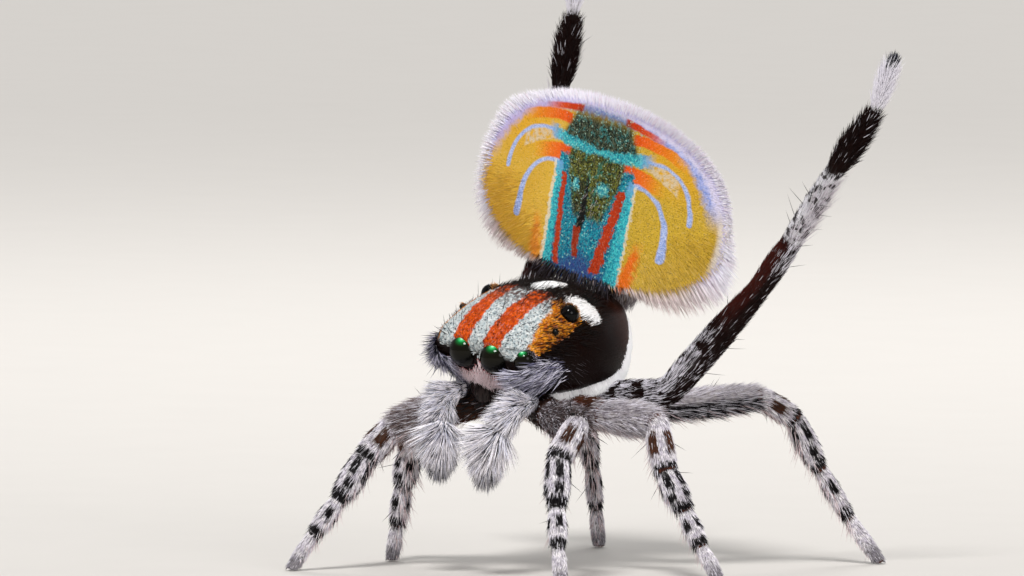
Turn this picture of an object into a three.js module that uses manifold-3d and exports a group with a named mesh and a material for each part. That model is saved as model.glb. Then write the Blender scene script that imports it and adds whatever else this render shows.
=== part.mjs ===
// Peacock spider, an adult male in its courtship display, life size.
// Millimetres, +Z up. It faces -Y, its own left side is +X, and its feet rest on z = 0.

import * as THREE from "three";
import { mergeVertices } from "three/addons/utils/BufferGeometryUtils.js";
import Module from "manifold-3d";

const wasm = await Module();
wasm.setup();

// Driving dimensions

const GAP = 0.03; // kept between neighbouring parts
const MERGE = 1e-5; // points closer than this become one
const SIMPLIFY = 0.006; // detail smaller than this is dropped after a join
const RAISED_ABOVE = 1; // a leg whose tip is higher than this is a raised one

const HEAD = {
  height: 2.61, // the centre of the head region above the floor
  pitch: 25, // degrees, nose down
  roll: 10, // degrees, left side down
};

const FAN = {
  centre: [0.058, 0.796, 3.734],
  yaw: -1.5,
  pitch: -2.2,
  roll: 11.9,
  halfWidth: 1.67,
  widest: -0.1, // height of the widest line on the fan's own upright axis
  rise: 0.99,
  drop: 0.74,
  power: 2.3, // of the superellipse that the rim follows
  sweep: 0.185, // how far the sides lie back
  sweepPower: 1.6,
  plateHalf: 0.58, // half width of the stiff middle plate
  rootThick: 0.1,
  rimThick: 0.045,
};

const PALETTE = {
  cuticle: [0x2a1710, 0.35, 0.0],
  eye: [0x0b120c, 0.08, 0.0],
  greyHair: [0xb9b4bd, 0.8, 0.0],
  darkHair: [0x2b2120, 0.7, 0.0],
  whiteHair: [0xe9e6ec, 0.8, 0.0],
  fanGold: [0xd9a51f, 0.6, 0.0],
  fanPlate: [0x2f6f6a, 0.35, 0.3],
  paleSkin: [0xc9a493, 0.5, 0.0],
};

// Vectors and frames

const v3 = (x, y, z) => new THREE.Vector3(x, y, z);
const along = (from, to, t) => from.clone().lerp(to, t);
const mix = (a, b, t) => a + (b - a) * t;
const smooth = (x) => x * x * (3 - 2 * x);
const clamp01 = (x) => Math.min(1, Math.max(0, x));
const DEG = Math.PI / 180;

function turned(yaw, pitch, roll) {
  const euler = new THREE.Euler(pitch * DEG, roll * DEG, yaw * DEG, "ZXY");
  return new THREE.Matrix4().makeRotationFromEuler(euler);
}

// A local point of the head: forward, left, up.
const headTurn = turned(0, HEAD.pitch, HEAD.roll);
const headPoint = (f, l, u) => v3(l, -f, u).applyMatrix4(headTurn).add(v3(0, 0, HEAD.height));

// A local point of the fan: left, up, back.
const fanTurn = turned(FAN.yaw, FAN.pitch, FAN.roll);
const fanPoint = (l, u, n) => v3(l, n, u).applyMatrix4(fanTurn).add(v3(...FAN.centre));

// Seeded random numbers, the same each run

function seeded(seed) {
  let state = seed;
  return () => {
    state = (state * 1664525 + 1013904223) % 4294967296;
    return state / 4294967296;
  };
}

// Surfaces

const middleOf = (ring) =>
  ring.reduce((sum, p) => sum.add(p), v3(0, 0, 0)).divideScalar(ring.length);

// A closed skin over rings of points, its ends closed by fans of triangles.
// A tip draws the last fan out to a point.
function loft(rings, tip = middleOf(rings[rings.length - 1])) {
  const sides = rings[0].length;
  const points = rings.flat();
  const first = points.length;
  points.push(middleOf(rings[0]), tip);
  const faces = [];
  for (let r = 0; r + 1 < rings.length; r++) {
    for (let s = 0; s < sides; s++) {
      const a = r * sides + s;
      const b = r * sides + ((s + 1) % sides);
      faces.push(a, b, b + sides, a, b + sides, a + sides);
    }
  }
  const last = (rings.length - 1) * sides;
  for (let s = 0; s < sides; s++) {
    const next = (s + 1) % sides;
    faces.push(first, next, s, first + 1, last + s, last + next);
  }
  return shell(points, faces);
}

// A closed plate between a front and a back grid of points, split into like triangles.
function plate(front, back) {
  const rows = front.length;
  const columns = front[0].length;
  const points = [...front.flat(), ...back.flat()];
  const offset = rows * columns;
  const faces = [];
  const index = (r, c) => r * columns + c;
  for (let r = 0; r + 1 < rows; r++) {
    for (let c = 0; c + 1 < columns; c++) {
      const a = index(r, c);
      const b = index(r, c + 1);
      const d = index(r + 1, c);
      const e = index(r + 1, c + 1);
      faces.push(a, b, e, a, e, d);
      faces.push(a + offset, e + offset, b + offset, a + offset, d + offset, e + offset);
    }
  }
  const rim = [];
  for (let c = 0; c < columns; c++) rim.push(index(0, c));
  for (let r = 1; r < rows; r++) rim.push(index(r, columns - 1));
  for (let c = columns - 2; c >= 0; c--) rim.push(index(rows - 1, c));
  for (let r = rows - 2; r > 0; r--) rim.push(index(r, 0));
  rim.forEach((a, i) => {
    const b = rim[(i + 1) % rim.length];
    faces.push(a, b + offset, b, a, a + offset, b + offset);
  });
  return shell(points, faces);
}

function signedVolume(points, faces) {
  let sum = 0;
  for (let i = 0; i < faces.length; i += 3) {
    const [a, b, c] = [points[faces[i]], points[faces[i + 1]], points[faces[i + 2]]];
    sum += a.dot(b.clone().cross(c)) / 6;
  }
  return sum;
}

// A geometry from points and faces, with its faces turned outwards.
function shell(points, faces) {
  const inward = signedVolume(points, faces) < 0;
  const order = inward ? faces.map((_, i) => faces[i - (i % 3) + 2 - (i % 3)]) : faces;
  const geometry = new THREE.BufferGeometry();
  const flat = points.flatMap((p) => [p.x, p.y, p.z]);
  geometry.setAttribute("position", new THREE.Float32BufferAttribute(flat, 3));
  geometry.setIndex(order);
  return geometry;
}

// Solids

function solid(geometry) {
  const bare = geometry.clone();
  bare.deleteAttribute("normal");
  bare.deleteAttribute("uv");
  const merged = mergeVertices(bare, MERGE);
  return new wasm.Manifold(
    new wasm.Mesh({
      numProp: 3,
      vertProperties: new Float32Array(merged.attributes.position.array),
      triVerts: new Uint32Array(merged.index.array),
    }),
  );
}

// The pieces joined, less the cuts, and only the largest closed body of what is left.
function fused(pieces, cuts = []) {
  let body = solid(pieces[0]);
  for (const piece of pieces.slice(1)) body = body.add(solid(piece));
  for (const cut of cuts) body = body.subtract(solid(cut));
  const parts = body.simplify(SIMPLIFY).decompose();
  parts.sort((a, b) => b.volume() - a.volume());
  return parts[0];
}

function geometryOf(body) {
  const mesh = body.getMesh();
  const geometry = new THREE.BufferGeometry();
  geometry.setAttribute("position", new THREE.BufferAttribute(mesh.vertProperties.slice(), 3));
  geometry.setIndex(new THREE.BufferAttribute(mesh.triVerts.slice(), 1));
  geometry.computeVertexNormals();
  return geometry;
}

function ball(centre, radius, sides, rows) {
  const geometry = new THREE.SphereGeometry(radius, sides, rows);
  geometry.translate(centre.x, centre.y, centre.z);
  return geometry;
}

// A slab under the floor, which flattens what reaches it.
const SLAB = { width: 12, thick: 1 };

function underFloor() {
  const slab = new THREE.BoxGeometry(SLAB.width, SLAB.width, SLAB.thick);
  slab.translate(0, 0, -SLAB.thick / 2);
  return slab;
}

// Locks of hair

const LOCK = {
  long: { stations: [0, 0.4, 0.74], taper: [1, 0.95, 0.62] },
  short: { stations: [0, 0.7], taper: [1, 0.85] },
  flatness: 0.22, // thickness as a share of the width
  sunk: 0.06, // how far the root lies under the surface
  look: 0.01, // the share of the lock that its heading is taken over
};

// A flat lock that leaves a surface along out, bends towards lean and ends in a point.
function lock({ root, out, lean, side, length, width, shape = LOCK.long }) {
  const start = root.clone().addScaledVector(out, -LOCK.sunk);
  const reach = length + LOCK.sunk;
  const spine = (t) =>
    start.clone().addScaledVector(out, reach * t).addScaledVector(lean, length * t * t);
  const across = side.clone().normalize();
  const rings = shape.stations.map((t, i) => {
    const half = (width / 2) * shape.taper[i];
    const heading = spine(t + LOCK.look).sub(spine(t)).normalize();
    const up = across.clone().cross(heading).normalize();
    const thick = half * LOCK.flatness;
    return [[1, 0], [0, 1], [-1, 0], [0, -1]].map(([a, b]) =>
      spine(t).addScaledVector(across, half * a).addScaledVector(up, thick * b),
    );
  });
  return loft(rings, spine(1));
}

const vary = (random, share) => 1 + share * (2 * random() - 1);

// Prosoma: one profile for the shield on top and one for the sternum under it.
// Each station gives the half width, the top and the lower edge at a place along the body.

const SHIELD = [
  // forward, half width, top, lower edge, height of the widest line, squareness of the shoulders
  [1.0, 0.3, 0.12, -0.14, 0.0, 0.2],
  [0.97, 0.52, 0.19, -0.28, -0.06, 0.2],
  [0.86, 0.66, 0.26, -0.44, -0.14, 0.2],
  [0.65, 0.72, 0.33, -0.58, -0.3, 0.18],
  [0.4, 0.77, 0.355, -0.66, -0.44, 0.14],
  [0.12, 0.8, 0.335, -0.74, -0.54, 0.08],
  [-0.15, 0.79, 0.255, -0.79, -0.6, 0.0],
  [-0.4, 0.72, 0.12, -0.78, -0.62, -0.06],
  [-0.62, 0.61, -0.04, -0.73, -0.6, -0.06],
  [-0.82, 0.46, -0.2, -0.65, -0.54, -0.03],
  [-0.97, 0.3, -0.3, -0.57, -0.48, 0.0],
  [-1.05, 0.14, -0.38, -0.49, -0.44, 0.0],
];

const STERNUM = [
  [0.82, 0.16, -0.44, -0.7, -0.55, 0.1],
  [0.7, 0.3, -0.44, -0.85, -0.6, 0.1],
  [0.45, 0.38, -0.44, -0.95, -0.65, 0.1],
  [0.1, 0.42, -0.44, -1.0, -0.68, 0.1],
  [-0.3, 0.42, -0.44, -1.0, -0.68, 0.1],
  [-0.65, 0.36, -0.44, -0.93, -0.66, 0.1],
  [-0.88, 0.2, -0.46, -0.8, -0.62, 0.1],
];

const HEAD_SIDES = 24;
const UNDER_SQUARE = 0.8; // how square a cross-section is below its widest line

// A cross-section: flatter on top than a circle, with its widest line set low.
function headRing([f, half, top, low, widest, shoulder], grow) {
  const ring = [];
  for (let s = 0; s < HEAD_SIDES; s++) {
    const angle = (s / HEAD_SIDES) * 2 * Math.PI;
    const c = Math.cos(angle);
    const d = Math.sin(angle);
    const reach = d > 0 ? top - widest : widest - low;
    const square = d > 0 ? 1 - shoulder : UNDER_SQUARE;
    const l = (half + grow) * Math.sign(c) * Math.abs(c) ** square;
    const u = widest + (reach + grow) * Math.sign(d) * Math.abs(d) ** square;
    ring.push(headPoint(f, l, u));
  }
  return ring;
}

function prosoma(profile, grow = 0) {
  const first = profile[0];
  const last = profile[profile.length - 1];
  const stations = profile.map((row) => [...row]);
  stations[0][0] = first[0] + grow;
  stations[stations.length - 1][0] = last[0] - grow;
  return loft(stations.map((row) => headRing(row, grow)));
}

// Hair of the face: long pale locks that sweep from below the eyes across the cheek.
// The roots run from beside the mouth, first, to the cheek, last.
const FACE_HAIR = {
  count: 4, // on each side
  forward: [0.9, 0.6],
  left: [0.4, 0.69],
  up: [-0.22, -0.34],
  curve: 0.6,
  behind: 0.35, // the locks point at a place this far behind their root
  target: { left: 1.1, up: -0.8 },
  lean: 0.35,
  length: 0.26,
  width: 0.17,
  varied: 0.15,
};

function faceHair() {
  const random = seeded(21);
  const { count, forward, left, up, target } = FACE_HAIR;
  const back = headPoint(0, 0, 0).sub(headPoint(1, 0, 0.2));
  const locks = [];
  for (const side of [1, -1]) {
    for (let i = 0; i < count; i++) {
      const t = i / (count - 1);
      const f = mix(...forward, t);
      const root = headPoint(f, side * mix(...left, t ** FACE_HAIR.curve), mix(...up, t));
      const aim = headPoint(f - FACE_HAIR.behind, side * target.left, target.up);
      const out = aim.sub(root).normalize();
      const lean = back.clone().multiplyScalar(FACE_HAIR.lean);
      const length = FACE_HAIR.length * vary(random, FACE_HAIR.varied);
      const across = v3(0, 0, 1).cross(out);
      locks.push(lock({ root, out, lean, side: across, length, width: FACE_HAIR.width }));
    }
  }
  return locks;
}

// Eyes: two large ones in front, a smaller pair beside them, a tiny pair, and a pair behind.

const EYES = {
  front_middle: { f: 1.0, l: 0.2, u: 0.0, radius: 0.165 },
  front_side: { f: 0.9, l: 0.515, u: 0.01, radius: 0.115 },
  small: { f: 0.505, l: 0.635, u: 0.142, radius: 0.035 },
  rear: { f: 0.15, l: 0.56, u: 0.14, radius: 0.1 },
};

const EYE_BACK = 0.06; // how far the ball's centre lies behind its given place
const SMALL_EYE = 0.05; // an eye of this radius or less has fewer faces
const EYE_AHEAD = 0.5; // an eye looks this share as far to the side as it lies

function eyeCentre(eye, side) {
  const out = v3(eye.l * EYE_AHEAD, eye.f, eye.u).normalize();
  return headPoint(eye.f - EYE_BACK * out.y, side * (eye.l - EYE_BACK * out.x), eye.u);
}

// Limbs

const MITRE = 0.45; // how much of a full mitre widens a joint's ring
const JOINT_ROOM = 1.1; // rings keep this many times the mitre's reach away from a joint
const LEAST_ROOM = 0.06; // and at least this share of the segment
const STRAIGHT = 1e-4; // a joint whose bend has a smaller sine counts as straight
const SIDEWAYS = 0.8; // a limb with more than this of its heading along x starts its rings on y

// Rings along a chain of joints. Each joint's ring lies in the plane that halves its bend.
function limbRings(joints, segments, sides) {
  const dirs = joints.slice(1).map((p, i) => p.clone().sub(joints[i]).normalize());
  const reference = Math.abs(dirs[0].x) < SIDEWAYS ? v3(1, 0, 0) : v3(0, 1, 0);
  let a = reference.clone().cross(dirs[0]).normalize();
  let b = dirs[0].clone().cross(a);
  const spans = [];
  let start = { normal: dirs[0].clone(), a: a.clone(), b: b.clone(), bend: null, k: 1, half: 0 };
  segments.forEach((profile, i) => {
    const dir = dirs[i];
    const next = dirs[i + 1] ?? dir;
    const end = { normal: dir.clone().add(next).normalize() };
    const halfway = new THREE.Quaternion().setFromUnitVectors(dir, end.normal);
    end.a = a.clone().applyQuaternion(halfway);
    end.b = b.clone().applyQuaternion(halfway);
    const hinge = dir.clone().cross(next);
    end.half = Math.acos(Math.min(1, dir.dot(end.normal)));
    end.bend = hinge.length() > STRAIGHT ? hinge.normalize().cross(end.normal) : null;
    end.k = 1 + MITRE * (1 / Math.cos(end.half) - 1);
    spans.push(limbSpan(joints[i], joints[i + 1], dir, profile, start, end, a, b, sides));
    const whole = new THREE.Quaternion().setFromUnitVectors(dir, next);
    a = a.applyQuaternion(whole);
    b = b.applyQuaternion(whole);
    start = end;
  });
  return spans;
}

// The rings of one segment: its two joint rings and those between, as wide as profile says.
function limbSpan(from, to, dir, profile, start, end, a, b, sides) {
  const length = from.distanceTo(to);
  const rings = [];
  const nearStart = (profile.width(0) * Math.tan(start.half) * JOINT_ROOM) / length;
  const nearEnd = (profile.width(1) * Math.tan(end.half) * JOINT_ROOM) / length;
  rings.push({ at: from, normal: start.normal, points: jointRing(from, profile.width(0), start, sides) });
  for (const t of profile.stations) {
    const place = mix(Math.max(nearStart, LEAST_ROOM), 1 - Math.max(nearEnd, LEAST_ROOM), t);
    const at = along(from, to, place);
    const points = circle(at, profile.width(place), a, b, sides);
    rings.push({ at, normal: dir, points });
  }
  rings.push({ at: to, normal: end.normal, points: jointRing(to, profile.width(1), end, sides) });
  return rings;
}

function circle(at, radius, a, b, sides) {
  return Array.from({ length: sides }, (_, s) => {
    const angle = (s / sides) * 2 * Math.PI;
    const out = a.clone().multiplyScalar(Math.cos(angle));
    out.addScaledVector(b, Math.sin(angle));
    return at.clone().addScaledVector(out, radius);
  });
}

function jointRing(at, radius, joint, sides) {
  return circle(at, radius, joint.a, joint.b, sides).map((p) => {
    if (!joint.bend) return p;
    const out = p.sub(at);
    out.addScaledVector(joint.bend, out.dot(joint.bend) * (joint.k - 1));
    return out.add(at);
  });
}

const shifted = (ring, distance) =>
  ring.points.map((p) => p.clone().addScaledVector(ring.normal, distance));

// One node's skin over a run of segments, its ends drawn back by half a gap.
function limbPiece(spans, first, last, openStart, openEnd) {
  const rings = [];
  for (let i = first; i <= last; i++) {
    spans[i].forEach((ring, r) => {
      const isFirst = i === first && r === 0;
      const isLast = i === last && r === spans[i].length - 1;
      if (i > first && r === 0) return;
      const shift = isFirst && openStart ? GAP / 2 : isLast && openEnd ? -GAP / 2 : 0;
      rings.push(shifted(ring, shift));
    });
  }
  return loft(rings);
}

// A segment that swells between narrower ends. Widths are radii.
function swelling(narrow, wide, end, peak = 0.4, stations = [0, 0.33, 0.67, 1]) {
  const width = (t) => {
    const side = t < peak ? t / peak : (1 - t) / (1 - peak);
    return mix(t < peak ? narrow : end, wide, Math.sin((clamp01(side) * Math.PI) / 2));
  };
  return { width, stations };
}

const GOLDEN = 0.618; // turns from one lock to the next round a limb's arc
const LIMB_LOCK = {
  depth: 0.8, // roots lie at this share of the limb's radius
  lean: 0.25,
  varied: 0.2,
};

// Locks on a limb between two of its rings, round the arc of its sides that faces towards.
function limbLocks(span, settings) {
  const { count, from, to, towards, arc, length, width, lift, seed, droop = 0, shape } = settings;
  const random = seeded(seed);
  const start = span[0].at;
  const end = span[span.length - 1].at;
  const dir = end.clone().sub(start).normalize();
  const axis = towards.clone().addScaledVector(dir, -towards.dot(dir)).normalize();
  const locks = [];
  for (let i = 0; i < count; i++) {
    const t = mix(from, to, (i + 0.5) / count);
    const around = arc * DEG * (((i * GOLDEN) % 1) * 2 - 1);
    const normal = axis.clone().applyAxisAngle(dir, around);
    const at = along(start, end, t);
    const root = at.clone().addScaledVector(normal, limbRadius(span, t) * LIMB_LOCK.depth);
    const out = normal.clone().multiplyScalar(Math.sin(lift * DEG));
    out.addScaledVector(dir, Math.cos(lift * DEG));
    const lean = dir.clone().multiplyScalar(LIMB_LOCK.lean).add(v3(0, 0, -droop));
    locks.push(
      lock({
        root, out, lean,
        side: normal.clone().cross(dir),
        shape,
        length: length * vary(random, LIMB_LOCK.varied),
        width: width * vary(random, LIMB_LOCK.varied),
      }),
    );
  }
  return locks;
}

function limbRadius(span, t) {
  const start = span[0].at;
  const length = start.distanceTo(span[span.length - 1].at);
  let before = { t: 0, r: span[0].points[0].distanceTo(span[0].at) };
  for (const ring of span.slice(1)) {
    const here = { t: start.distanceTo(ring.at) / length, r: ring.points[0].distanceTo(ring.at) };
    if (t <= here.t) return mix(before.r, here.r, (t - before.t) / (here.t - before.t || 1));
    before = here;
  }
  return before.r;
}

// Legs: joints as the animal holds them, from the body outwards, and the segments' radii.

const LEG_WIDTH = {
  1: { hip: 0.17, femur: 0.23, knee: 0.15, tibia: 0.165, meta: 0.125, tarsus: 0.1, tip: 0.075 },
  2: { hip: 0.17, femur: 0.2, knee: 0.14, tibia: 0.165, meta: 0.125, tarsus: 0.1, tip: 0.075 },
  3: { hip: 0.18, femur: 0.2, knee: 0.15, tibia: 0.13, meta: 0.165, tarsus: 0.1, tip: 0.05 },
  4: { hip: 0.17, femur: 0.17, knee: 0.13, tibia: 0.14, meta: 0.11, tarsus: 0.095, tip: 0.07 },
};

const LEGS = {
  leg_1_left: [
    [0.3, -0.36, 1.68], [0.72, -0.56, 1.6], [1.31, -0.88, 1.58], [1.3, -1.16, 1.245],
    [1.42, -1.32, 0.766], [1.533, -1.422, 0.375], [1.6, -1.458, 0],
  ],
  leg_1_right: [
    [-0.3, -0.36, 1.74], [-0.7, -0.55, 1.62], [-1.2, -0.8, 1.449], [-1.351, -1.062, 1.144],
    [-1.507, -1.308, 0.708], [-1.681, -1.488, 0.359], [-1.846, -1.634, 0],
  ],
  leg_2_left: [
    [0.3, -0.03, 1.66], [0.88, 0.0, 1.6], [1.51, 0.07, 1.57], [1.651, 0.059, 1.077],
    [1.86, 0.11, 0.68], [2.026, 0.163, 0.333], [2.19, 0.239, 0],
  ],
  leg_2_right: [
    [-0.3, -0.03, 1.82], [-0.86, -0.08, 1.72], [-1.478, -0.24, 1.4], [-1.69, -0.03, 1.12],
    [-1.81, 0.0, 0.767], [-1.9, 0.013, 0.36], [-1.946, -0.012, 0],
  ],
  leg_3_left: [
    [0.3, 0.33, 1.72], [1.15, 0.65, 1.79], [2.0, 1.04, 2.83], [2.32, 1.145, 3.285],
    [2.795, 1.27, 4.03], [3.22, 1.41, 4.643], [3.43, 1.46, 5.19],
  ],
  leg_3_right: [
    [-0.3, 0.33, 1.92], [-0.92, 0.58, 1.98], [-0.95, 1.25, 3.25], [-0.93, 1.33, 3.84],
    [-0.885, 1.35, 4.75], [-0.762, 1.396, 5.474], [-0.688, 1.395, 6.05],
  ],
  leg_4_left: [
    [0.26, 0.68, 1.8], [0.8, 0.98, 1.63], [1.37, 1.81, 1.72], [1.523, 2.15, 1.504],
    [1.626, 2.44, 0.974], [1.75, 2.75, 0.464], [1.98, 2.96, 0],
  ],
  leg_4_right: [
    [-0.26, 0.68, 2.02], [-0.8, 0.98, 1.95], [-1.37, 1.81, 1.6], [-1.387, 2.245, 1.4],
    [-1.537, 2.58, 0.85], [-1.606, 2.72, 0.4], [-1.616, 2.777, 0],
  ],
};

const LEG_SIDES = 8;
const FOOT_DEPTH = 0.05; // how far a standing foot's end is drawn under the floor, then cut flat

function legNodes(name, joints) {
  const number = Number(name.split("_")[1]);
  const w = LEG_WIDTH[number];
  const points = joints.map((p) => v3(...p));
  const raised = points[points.length - 1].z > RAISED_ABOVE;
  if (!raised) {
    const tip = points[points.length - 1];
    const dir = tip.clone().sub(points[points.length - 2]).normalize();
    tip.addScaledVector(dir, FOOT_DEPTH / -dir.z);
  }
  const spans = limbRings(
    points,
    [
      swelling(w.hip, w.hip * 1.05, w.hip * 0.92, 0.5, [0.5]),
      swelling(w.hip * 0.92, w.femur, w.knee * 0.9, 0.4),
      swelling(w.knee * 0.9, w.knee, w.knee * 0.85, 0.5, [0.2, 0.8]),
      swelling(w.knee * 0.85, w.tibia, w.meta * 0.8, 0.4),
      swelling(w.meta * 0.8, w.meta, w.tarsus * 0.8, 0.4, [0, 0.5, 1]),
      swelling(w.tarsus * 0.8, w.tarsus, w.tip, 0.45, [0, 0.5, 1]),
    ],
    LEG_SIDES,
  );
  const bodyCuts = [prosoma(SHIELD, GAP), prosoma(STERNUM, GAP)];
  const floorCut = raised ? [] : [underFloor()];
  const seed = name.length * 7 + number * 41;
  const hair = number === 3 ? raisedHair(spans, seed) : standingHair(spans, seed);
  return {
    [`${name}_femur`]: fused([limbPiece(spans, 0, 1, false, true), ...hair.femur], bodyCuts),
    [`${name}_tibia`]: fused([limbPiece(spans, 2, 3, true, true), ...hair.tibia]),
    [`${name}_metatarsus`]: fused([limbPiece(spans, 4, 4, true, true), ...hair.metatarsus]),
    [`${name}_tarsus`]: fused([limbPiece(spans, 5, 5, true, false), ...hair.tarsus], floorCut),
  };
}

// A standing leg's fringe hangs from its underside.
function standingHair(spans, seed) {
  const inward = spans[2][0].at.clone().negate().setZ(0).normalize();
  const under = inward.add(v3(0, 0, -0.6)).normalize();
  const row = { towards: under, arc: 40, width: 0.14, lift: 24, seed, droop: 0.1, shape: LOCK.short };
  const down = v3(0, 0, -1);
  return {
    femur: limbLocks(spans[1], { ...row, towards: down, count: 3, from: 0.1, to: 0.7, length: 0.2 }),
    tibia: limbLocks(spans[3], { ...row, count: 3, from: 0.1, to: 0.75, length: 0.18 }),
    metatarsus: limbLocks(spans[4], { ...row, count: 2, from: 0.1, to: 0.6, length: 0.15, width: 0.12 }),
    tarsus: [],
  };
}

const TIP_TUFT = { count: 4, from: 0.25, to: 0.75, length: 0.19, lift: 9, width: 0.12 };

// The raised leg's display brush: dark bristles on the metatarsus and a white tuft at the tip.
function raisedHair(spans, seed) {
  const out = v3(spans[2][0].at.x > 0 ? 0.8 : -0.8, -0.4, -0.5);
  const row = { towards: out, arc: 180, width: 0.16, seed };
  return {
    femur: [],
    tibia: limbLocks(spans[3], { ...row, arc: 60, count: 5, from: 0.05, to: 0.8, length: 0.25, lift: 20 }),
    metatarsus: limbLocks(spans[4], { ...row, count: 9, from: 0.02, to: 0.72, length: 0.25, lift: 25 }),
    tarsus: limbLocks(spans[5], { ...row, ...TIP_TUFT }),
  };
}

// Palps: a bent arm of three short segments, and the swollen end that hangs before the jaws.

const PALPS = {
  left: [
    [0.3, -0.42, 1.78], [0.52, -0.72, 1.74], [0.55, -0.95, 1.72], [0.47, -1.1, 1.5],
    [0.36, -1.14, 1.3], [0.31, -1.15, 0.9],
  ],
  right: [
    [-0.28, -0.42, 1.84], [-0.42, -0.7, 1.84], [-0.46, -0.92, 1.77], [-0.32, -1.08, 1.52],
    [-0.3, -1.12, 1.36], [-0.31, -1.14, 0.95],
  ],
};

const PALP_WIDTH = { base: 0.09, femur: 0.12, patella: 0.15, tibia: 0.17, tip: 0.215, end: 0.06 };

function palpNodes(side) {
  const w = PALP_WIDTH;
  const spans = limbRings(
    PALPS[side].map((p) => v3(...p)),
    [
      swelling(w.base, w.femur, w.patella * 0.8, 0.6, [0.5]),
      swelling(w.patella * 0.8, w.patella, w.patella * 0.9, 0.5, [0.5]),
      swelling(w.patella * 0.9, w.tibia, w.tibia * 0.9, 0.5, [0.5]),
      swelling(w.tibia * 0.9, w.tibia, w.tibia * 0.9, 0.5, [0.5]),
      swelling(w.tibia * 0.9, w.tip, w.end, 0.4, [0, 0.25, 0.5, 0.8, 1]),
    ],
    LEG_SIDES,
  );
  const bodyCuts = [prosoma(SHIELD, GAP), prosoma(STERNUM, GAP)];
  const seed = side === "left" ? 5 : 6;
  const towards = side === "left" ? v3(-0.75, -0.66, 0.1) : v3(0.1, -1, 0.1);
  const row = { towards, arc: 100, length: 0.27, width: 0.17, seed, droop: 0.1 };
  const arm = [
    ...limbLocks(spans[2], { ...row, count: 5, from: -0.1, to: 0.7, lift: 32 }),
    ...limbLocks(spans[1], { ...row, count: 2, from: 0.2, to: 0.9, lift: 22 }),
  ];
  const tip = limbLocks(spans[4], { ...row, arc: 180, count: 11, from: 0.04, to: 0.6, lift: 20 });
  return {
    [`palp_${side}_arm`]: fused([limbPiece(spans, 0, 3, false, true), ...arm], bodyCuts),
    [`palp_${side}_tip`]: fused([limbPiece(spans, 4, 4, true, false), ...tip]),
  };
}

// Jaws under the face

function jaw(side) {
  const points = [headPoint(0.72, side * 0.16, -0.2), headPoint(0.86, side * 0.16, -0.62)];
  const spans = limbRings(points, [swelling(0.12, 0.14, 0.09, 0.5, [0, 0.4, 0.8])], LEG_SIDES);
  return fused([limbPiece(spans, 0, 0, false, false)], [prosoma(SHIELD, GAP), prosoma(STERNUM, GAP)]);
}

// Fan: the flat top of the abdomen and its two side flaps

// Shares of a flap's width at which its columns of points stand.
const FLAP_SHARES = [0, 0.2, 0.4, 0.58, 0.74, 0.87, 0.96, 1];
const FLAP_END = 0.995; // the last column's share of the fan's half width
const FAN_ROWS = 8;

function rimHeight(l, up) {
  const share = clamp01(1 - clamp01(Math.abs(l) / FAN.halfWidth) ** FAN.power);
  const reach = share ** (1 / FAN.power);
  return FAN.widest + (up ? FAN.rise : -FAN.drop) * reach;
}

const fanBack = (l) => FAN.sweep * (Math.abs(l) / FAN.halfWidth) ** FAN.sweepPower;
const fanThick = (l) => mix(FAN.rootThick, FAN.rimThick, smooth(clamp01(Math.abs(l) / FAN.halfWidth)));

function fanPlate(columns) {
  const grid = (deep) =>
    columns.map((l) =>
      Array.from({ length: FAN_ROWS + 1 }, (_, r) => {
        const u = mix(rimHeight(l, false), rimHeight(l, true), r / FAN_ROWS);
        return fanPoint(l, u, fanBack(l) + deep * fanThick(l));
      }),
    );
  return plate(grid(0), grid(1));
}

function flapColumns(side) {
  const from = FAN.plateHalf + GAP / 2;
  const to = FAN.halfWidth * FLAP_END;
  return FLAP_SHARES.map((t) => side * mix(from, to, t));
}

// A place on the rim, by its angle about the fan's middle, from the left side over the top.
function rimPlace(angle) {
  const power = 2 / FAN.power;
  const c = Math.cos(angle);
  const d = Math.sin(angle);
  const l = FAN.halfWidth * Math.sign(c) * Math.abs(c) ** power;
  const reach = d > 0 ? FAN.rise : FAN.drop;
  return { l, u: FAN.widest + reach * Math.sign(d) * Math.abs(d) ** power };
}

// The fringe: pale locks all round the rim, in two tiers, longest at the lower outer corners.
const FRINGE = {
  length: 0.2,
  corner: 0.13, // added at the lower outer corners
  width: 0.2,
  spacing: 0.13,
  droop: 0.3,
  fore: { depth: 0.35, lean: -0.15 }, // the tier that grows nearer the front and leans forward
  rear: { depth: 0.65, lean: 0.2 },
  varied: 0.15,
  steps: 400, // along the rim, to measure the spacing
};

// 1 at the fan's lower outer corners, less towards the top and the middle.
const cornerShare = (angle) => clamp01(-Math.sin(angle)) * clamp01(Math.abs(Math.cos(angle)) * 1.6);

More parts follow.
